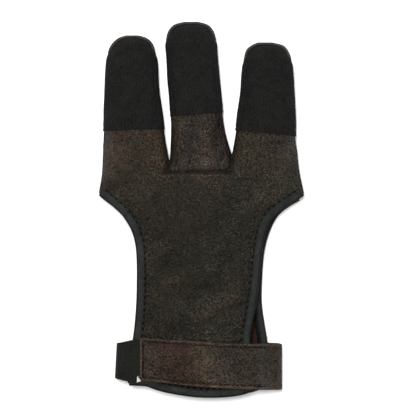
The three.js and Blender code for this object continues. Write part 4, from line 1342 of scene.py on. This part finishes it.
def ribbon(top, under_at, fold, fold_height, wall, end, centre, width, shares, detail, corners=None):
    """Patch of a flat band: over the glove, round a fold, and on along the surface."""
    direction = np.sign(fold - top[0])
    fold_start = fold - direction * FOLD_ROUND
    upper, lower = [], []
    for x in top:
        gone = abs(x - top[0])
        low = centre(x) - width / 2 + (cut(corners["lower"], gone) if corners else 0)
        high = centre(x) + width / 2 - (cut(corners["upper"], gone) if corners else 0)
        y = mix(low, high, shares)
        under = under_at(np.full_like(y, x), y)
        upper.append(stack(x, y, under + wall + detail(x, y, shares)))
        lower.append(stack(x, y, under))
    for angle in np.linspace(0, np.pi, 26)[1:-1]:
        for store, inset in ((upper, 0.0), (lower, wall)):
            x = fold_start + direction * (FOLD_ROUND - inset) * math.sin(angle)
            z = fold_height / 2 + (fold_height / 2 - inset) * math.cos(angle)
            store.append(stack(x, centre(x) + (shares - 0.5) * width, z))
    for x in np.linspace(fold_start, end, 60):
        y = centre(x) + (shares - 0.5) * width
        upper.append(stack(x, y, 0.0))
        lower.append(stack(x, y, wall))
    upper, lower = np.stack(upper, axis=1), np.stack(lower, axis=1)
    if direction < 0:
        upper, lower, shares = upper[::-1], lower[::-1], shares[::-1]
    middle = (upper[len(shares) // 2] + lower[len(shares) // 2]) / 2
    along = np.repeat(distances(middle)[None, :], len(shares), axis=0)
    across = np.repeat(shares[:, None], upper.shape[1], axis=1)
    return upper, lower, across, along


def tab_place(x, share):
    """Distance from the tab's edges, and 1 where it is sewn."""
    edge = np.minimum(share, 1 - share) * STRAP_WIDTH
    return np.minimum(edge, x - tab_end + 0.15), smooth((TAB_STITCH_END - x) / 2)


def shape_tab(points, share, on_top=1.0):
    """Give points of the tab its uneven long edges and its end."""
    x = points[..., 0]
    points[..., 1] += mix(read(TAB_EDGES, x, 1), read(TAB_EDGES, x, 2), share) * on_top
    points[..., 0] += TAB_SHIFT * clamp(1 - (x - tab_end) / 6) * on_top


def strap():
    run = TAB_CORNERS["lower"][0]
    margin = np.linspace(0, STRAP_MARGIN, 17)
    between = np.linspace(STRAP_MARGIN, 1 - STRAP_MARGIN, 22)[1:-1]
    shares = np.concatenate([margin, between, np.linspace(1 - STRAP_MARGIN, 1, 17)])
    rounded = tab_end + run * np.linspace(0, 1, 18) ** 2
    top = np.concatenate([rounded, np.linspace(tab_end + run, strap_fold - FOLD_ROUND, 150)[1:]])

    def detail(x, y, share):
        near, sewn = tab_place(x, share)
        uneven = 0.14 * noise(x, y, 8, 41) + 0.05 * noise(x, y, 2.5, 42)
        return uneven - 0.4 * bell(near - TAB_STITCH_INSET, 0.5) * sewn - 0.12 * bell(near, 0.5)

    upper, lower, share, _ = ribbon(
        top, strap_under, strap_fold, FOLD_HEIGHT, STRAP_WALL, strap_end, strap_y, STRAP_WIDTH, shares,
        detail, TAB_CORNERS,
    )
    x = upper[..., 0]
    near, sewn = tab_place(x, share)
    deep = mix(0.35, 0.8, 1 - smooth((x - tab_end - 1) / 3))
    # Painted shade along the groove of the tab's stitching, passed on in the lengthwise place
    tone = -deep * bell(near - TAB_STITCH_INSET, 0.5) * sewn

    def worn(distance, width, fade, strength, uneven, seed):
        """Bare leather up to a width from an edge."""
        strength = strength + uneven * noise(x, 0.0, 2, seed)
        return strength * (1 - smooth((distance - width) / fade))

    wide = smooth((x - RAW_BAND[0]) / 4) * (1 - smooth((x - RAW_BAND[1]) / 4))
    band = 0.55 + 0.3 * noise(x, 0.0, 5, 43) + wide
    bare = np.maximum.reduce([
        worn(share * STRAP_WIDTH, band, 0.35, 0.5, 0.08, 44),
        worn(x - tab_end, 0.45, 0.4, 0.8, 0.0, 44),
        worn((1 - share) * STRAP_WIDTH, 0.35, 0.4, 0.36, 0.12, 45),
    ])
    for points in (upper, lower):
        shape_tab(points, share, points[..., 2] > FOLD_HEIGHT / 2)
    return sheet("strap_leather", [(upper, lower, bare, tone)], [STRAP_LEATHER, SUEDE, CUT_EDGE], 0.22)


def tab_stitch_paths():
    """Down the tab's top edge, round its end and back along its bottom edge."""
    inset, corner = TAB_STITCH_INSET, TAB_STITCH_CORNER
    reach = STRAP_WIDTH / 2 - inset
    xs = np.linspace(TAB_STITCH_END, tab_end + inset + corner, 120)
    top = [(x, strap_y(x) + reach) for x in xs]
    bottom = [(x, strap_y(x) - reach) for x in xs[::-1]]
    turn = []
    for sign in (1, -1):
        for angle in np.linspace(0, np.pi / 2, 8)[1:-1][::sign]:
            x = tab_end + inset + corner * (1 - math.sin(angle))
            turn.append((x, strap_y(tab_end + inset) + sign * (reach - corner * (1 - math.cos(angle)))))
    path = np.array(top + turn + bottom)
    shape_tab(path, (path[:, 1] - strap_y(path[:, 0])) / STRAP_WIDTH + 0.5)
    z = strap_under(path[:, 0], path[:, 1]) + STRAP_WALL - 0.26
    return np.column_stack([path, z]), surface_normals(strap_under, path)


def surface_normals(height, path):
    step = 0.4
    x, y = path[:, 0], path[:, 1]
    slope_x = (height(x + step, y) - height(x - step, y)) / (2 * step)
    slope_y = (height(x, y + step) - height(x, y - step)) / (2 * step)
    normals = np.column_stack([-slope_x, -slope_y, np.ones_like(x)])
    return normals / np.linalg.norm(normals, axis=1)[:, None]


def elastic_y(x):
    """The elastic's centre line, which runs straight across."""
    return strap_level + 0 * x


def elastic_band():
    def detail(x, y, share):
        return 0.03 * np.cos(share * ELASTIC_RIBS * 2 * np.pi) + 0.15 * noise(x, y, 7, 51)

    start = panel_left + ELASTIC_END
    top = np.linspace(start, elastic_fold + FOLD_ROUND, 40)
    patch = ribbon(
        top, elastic_under, elastic_fold, ELASTIC_FOLD_HEIGHT, ELASTIC_WALL, strap_end - GAP, elastic_y,
        ELASTIC_WIDTH, np.linspace(0, 1, 91), detail,
    )
    share = patch[2]
    for points in patch[:2]:
        out = clamp((start - points[..., 0]) / (start - elastic_fold))
        upright = smooth(points[..., 2] / ELASTIC_FOLD_HEIGHT * 1.4 - 0.2)
        points[..., 1] += upright * (1 - out) * mix(*ELASTIC_SPREAD, share)
        points[..., 0] += ELASTIC_SLANT * (share - 0.5) * smooth(out * 2)
        near = clamp(1 - (start - points[..., 0]) / 3) * (points[..., 2] > ELASTIC_FOLD_HEIGHT / 2)
        points[..., 0] += ELASTIC_COVER * near * smooth((points[..., 1] - PATCH_CORNER) / 0.5)
    return sheet("elastic_webbing", [patch], [ELASTIC_CLOTH] * 3, 0.25)


def fastener_patch():
    u, v = np.meshgrid(np.linspace(0, 1, 90), np.linspace(0, 1, 70))
    middle = strap_level + (v - 0.5) * PATCH_WIDTH
    tuck = PATCH_TUCK * smooth((middle - PATCH_CORNER) / 0.5) * (1 - u)
    x = hand_edge("back", "left", middle) + PATCH_INSET + u * PATCH_LENGTH + tuck
    droop = PATCH_DROOP * (1 - v) ** 3 * np.exp(-u * PATCH_LENGTH / PATCH_DROOP_RUN)
    y = strap_y(x) + (v - 0.5) * PATCH_WIDTH - droop
    under = back_top(x, y) + GAP + cover_of(x, y)
    fluff = 0.12 * noise(x, y, 0.7, 61) + 0.1 * noise(x, y, 1.6, 62)
    # Painted shadow of the tab's end on the patch
    tab_shadow = smooth((x - TAB_SHADOW_FROM[0] + (y - TAB_SHADOW_FROM[1]) * TAB_SHADOW_SLOPE) / 0.4)
    upper, lower = stack(x, y, under + PATCH_WALL - 0.1 + fluff), stack(x, y, under)
    return sheet("fastener_nap", [(upper, lower, u, tab_shadow)], [CREAM] * 3, 0.3)


# Pieces
finish_piece(palm_panel(), "leather", "palm_panel")
finish_piece(back_panel(), "leather", "back_panel")
finish_piece(middle_piece(), "leather", "middle_finger_back")
for finger in FINGERS:
    finish_piece(stall(finger), "ribbed_fabric", "stall_" + finger)
finish_piece(strap(), "strap_leather", "strap")
finish_piece(elastic_band(), "elastic", "elastic_band")
finish_piece(fastener_patch(), "hook_and_loop", "fastener_patch")

binding_rows = []
# Taped panels: the side tapes start at a height and stop this far above the hem
taped_panels = [
    ("back", back_point, TAPE, CORNER_Y - 0.4, BINDING_WIDTH + 2 * GAP),
    ("palm", palm_point, PALM_TAPE, CORNER_Y - 3.2, 0),
]
for panel, point, tape, start, above in taped_panels:
    for side, share in (("left", 0), ("right", 1)):
        places = side_places(panel, side, start, float(hem_at(share)) + above, 260)
        obj, sites, normals = binding(f"tape_{panel}_{side}", places, point, tape)
        finish_piece(obj, "binding_tape", f"binding_{panel}_{side}")
        binding_rows.append((sites, normals))
hem_row = hem_places("back", 200) + np.array([0.0, HEM_TUCK])
obj, sites, normals = binding("tape_back_hem", hem_row, back_point, TAPE, 1.0)
finish_piece(obj, "binding_tape", "binding_back_hem")
binding_rows.append((sites, normals))
finish_piece(stitches("stitches_binding", binding_rows, BLACK_THREAD, radius=0.42), "binding_tape")
finish_piece(stitches("stitches_base_seam", [base_seam_path()], BLACK_THREAD, 1.2, 1.9, 0.2), "leather")
finish_piece(stitches("stitches_tab", [tab_stitch_paths()], BROWN_THREAD, 1.7, 2.3, 0.3), "strap_leather")
tip_rows = [tip_seam_path(finger) for finger in FINGERS]
finish_piece(stitches("stitches_tips", tip_rows, PALE_THREAD, 0.8, 1.25, 0.24), "leather")
stall_rows = [row for finger in FINGERS for row in stall_seam_paths(finger)]
finish_piece(stitches("stitches_stalls", stall_rows, GREY_THREAD, 0.9, 1.5, 0.2), "ribbed_fabric")


# Stage, light and camera
FLOOR_REACH = 3000.0
FLOOR_GAP = 0.05


def stage_floor():
    floor = Finish("floor")
    speck = floor.noise(0.02, 2.0)
    colour = floor.ramp(speck, (0.0, (0.93, 0.93, 0.93)), (1.0, (0.95, 0.95, 0.95)))
    material = floor.set(Base_Color=colour, Roughness=0.9, Specular_IOR_Level=0.1)
    reach = FLOOR_REACH
    points = [(-reach, -reach, 0), (reach, -reach, 0), (reach, reach, 0), (-reach, reach, 0)]
    obj = mesh_object("floor", points, [[0, 1, 2, 3]], [material])
    obj.location.z = -FLOOR_GAP * MM


def area_light(name, place, size, power, mirrored=True):
    light = bpy.data.lights.new(name, "AREA")
    light.shape = "DISK"
    light.size = size
    light.energy = power
    obj = bpy.data.objects.new(name, light)
    obj.location = place
    direction = -np.array(place) / np.linalg.norm(place)
    obj.rotation_euler = (math.acos(-direction[2]), 0, math.atan2(-direction[0], direction[1]))
    obj.visible_glossy = mirrored
    bpy.context.scene.collection.objects.link(obj)


def studio():
    world = bpy.data.worlds.new("studio")
    world.use_nodes = True
    world.node_tree.nodes["Background"].inputs["Color"].default_value = (1, 1, 1, 1)
    world.node_tree.nodes["Background"].inputs["Strength"].default_value = 0.25
    bpy.context.scene.world = world
    area_light("soft_key", (-0.2, 0.26, 1.6), 0.5, 26, mirrored=False)
    area_light("soft_fill", (0.35, -0.4, 1.5), 0.9, 8, mirrored=False)
    area_light("gloss_light", (-0.12, 0.88, 1.25), 0.25, 6.5)


PIXEL = 0.55  # millimetres on the surface for each pixel of the photograph's frame
FRAME_PIXELS = 416
VIEW_CENTRE = (3.44, 1.1)  # middle of the view, before the frame's shift
LENS = 200.0
SENSOR = 36.0
GLOVE_MIDDLE = 9.0  # height that the scale is taken at


def camera():
    data = bpy.data.cameras.new("camera")
    data.lens = LENS
    data.sensor_width = SENSOR
    data.clip_end = 10
    obj = bpy.data.objects.new("camera", data)
    distance = PIXEL * FRAME_PIXELS * LENS / SENSOR
    x, y = VIEW_CENTRE[0] + frame_shift[0], VIEW_CENTRE[1] + frame_shift[1]
    obj.location = (x * MM, y * MM, (distance + GLOVE_MIDDLE) * MM)
    bpy.context.scene.collection.objects.link(obj)
    bpy.context.scene.camera = obj


stage_floor()
studio()
camera()
bpy.context.scene.view_settings.view_transform = "Standard"
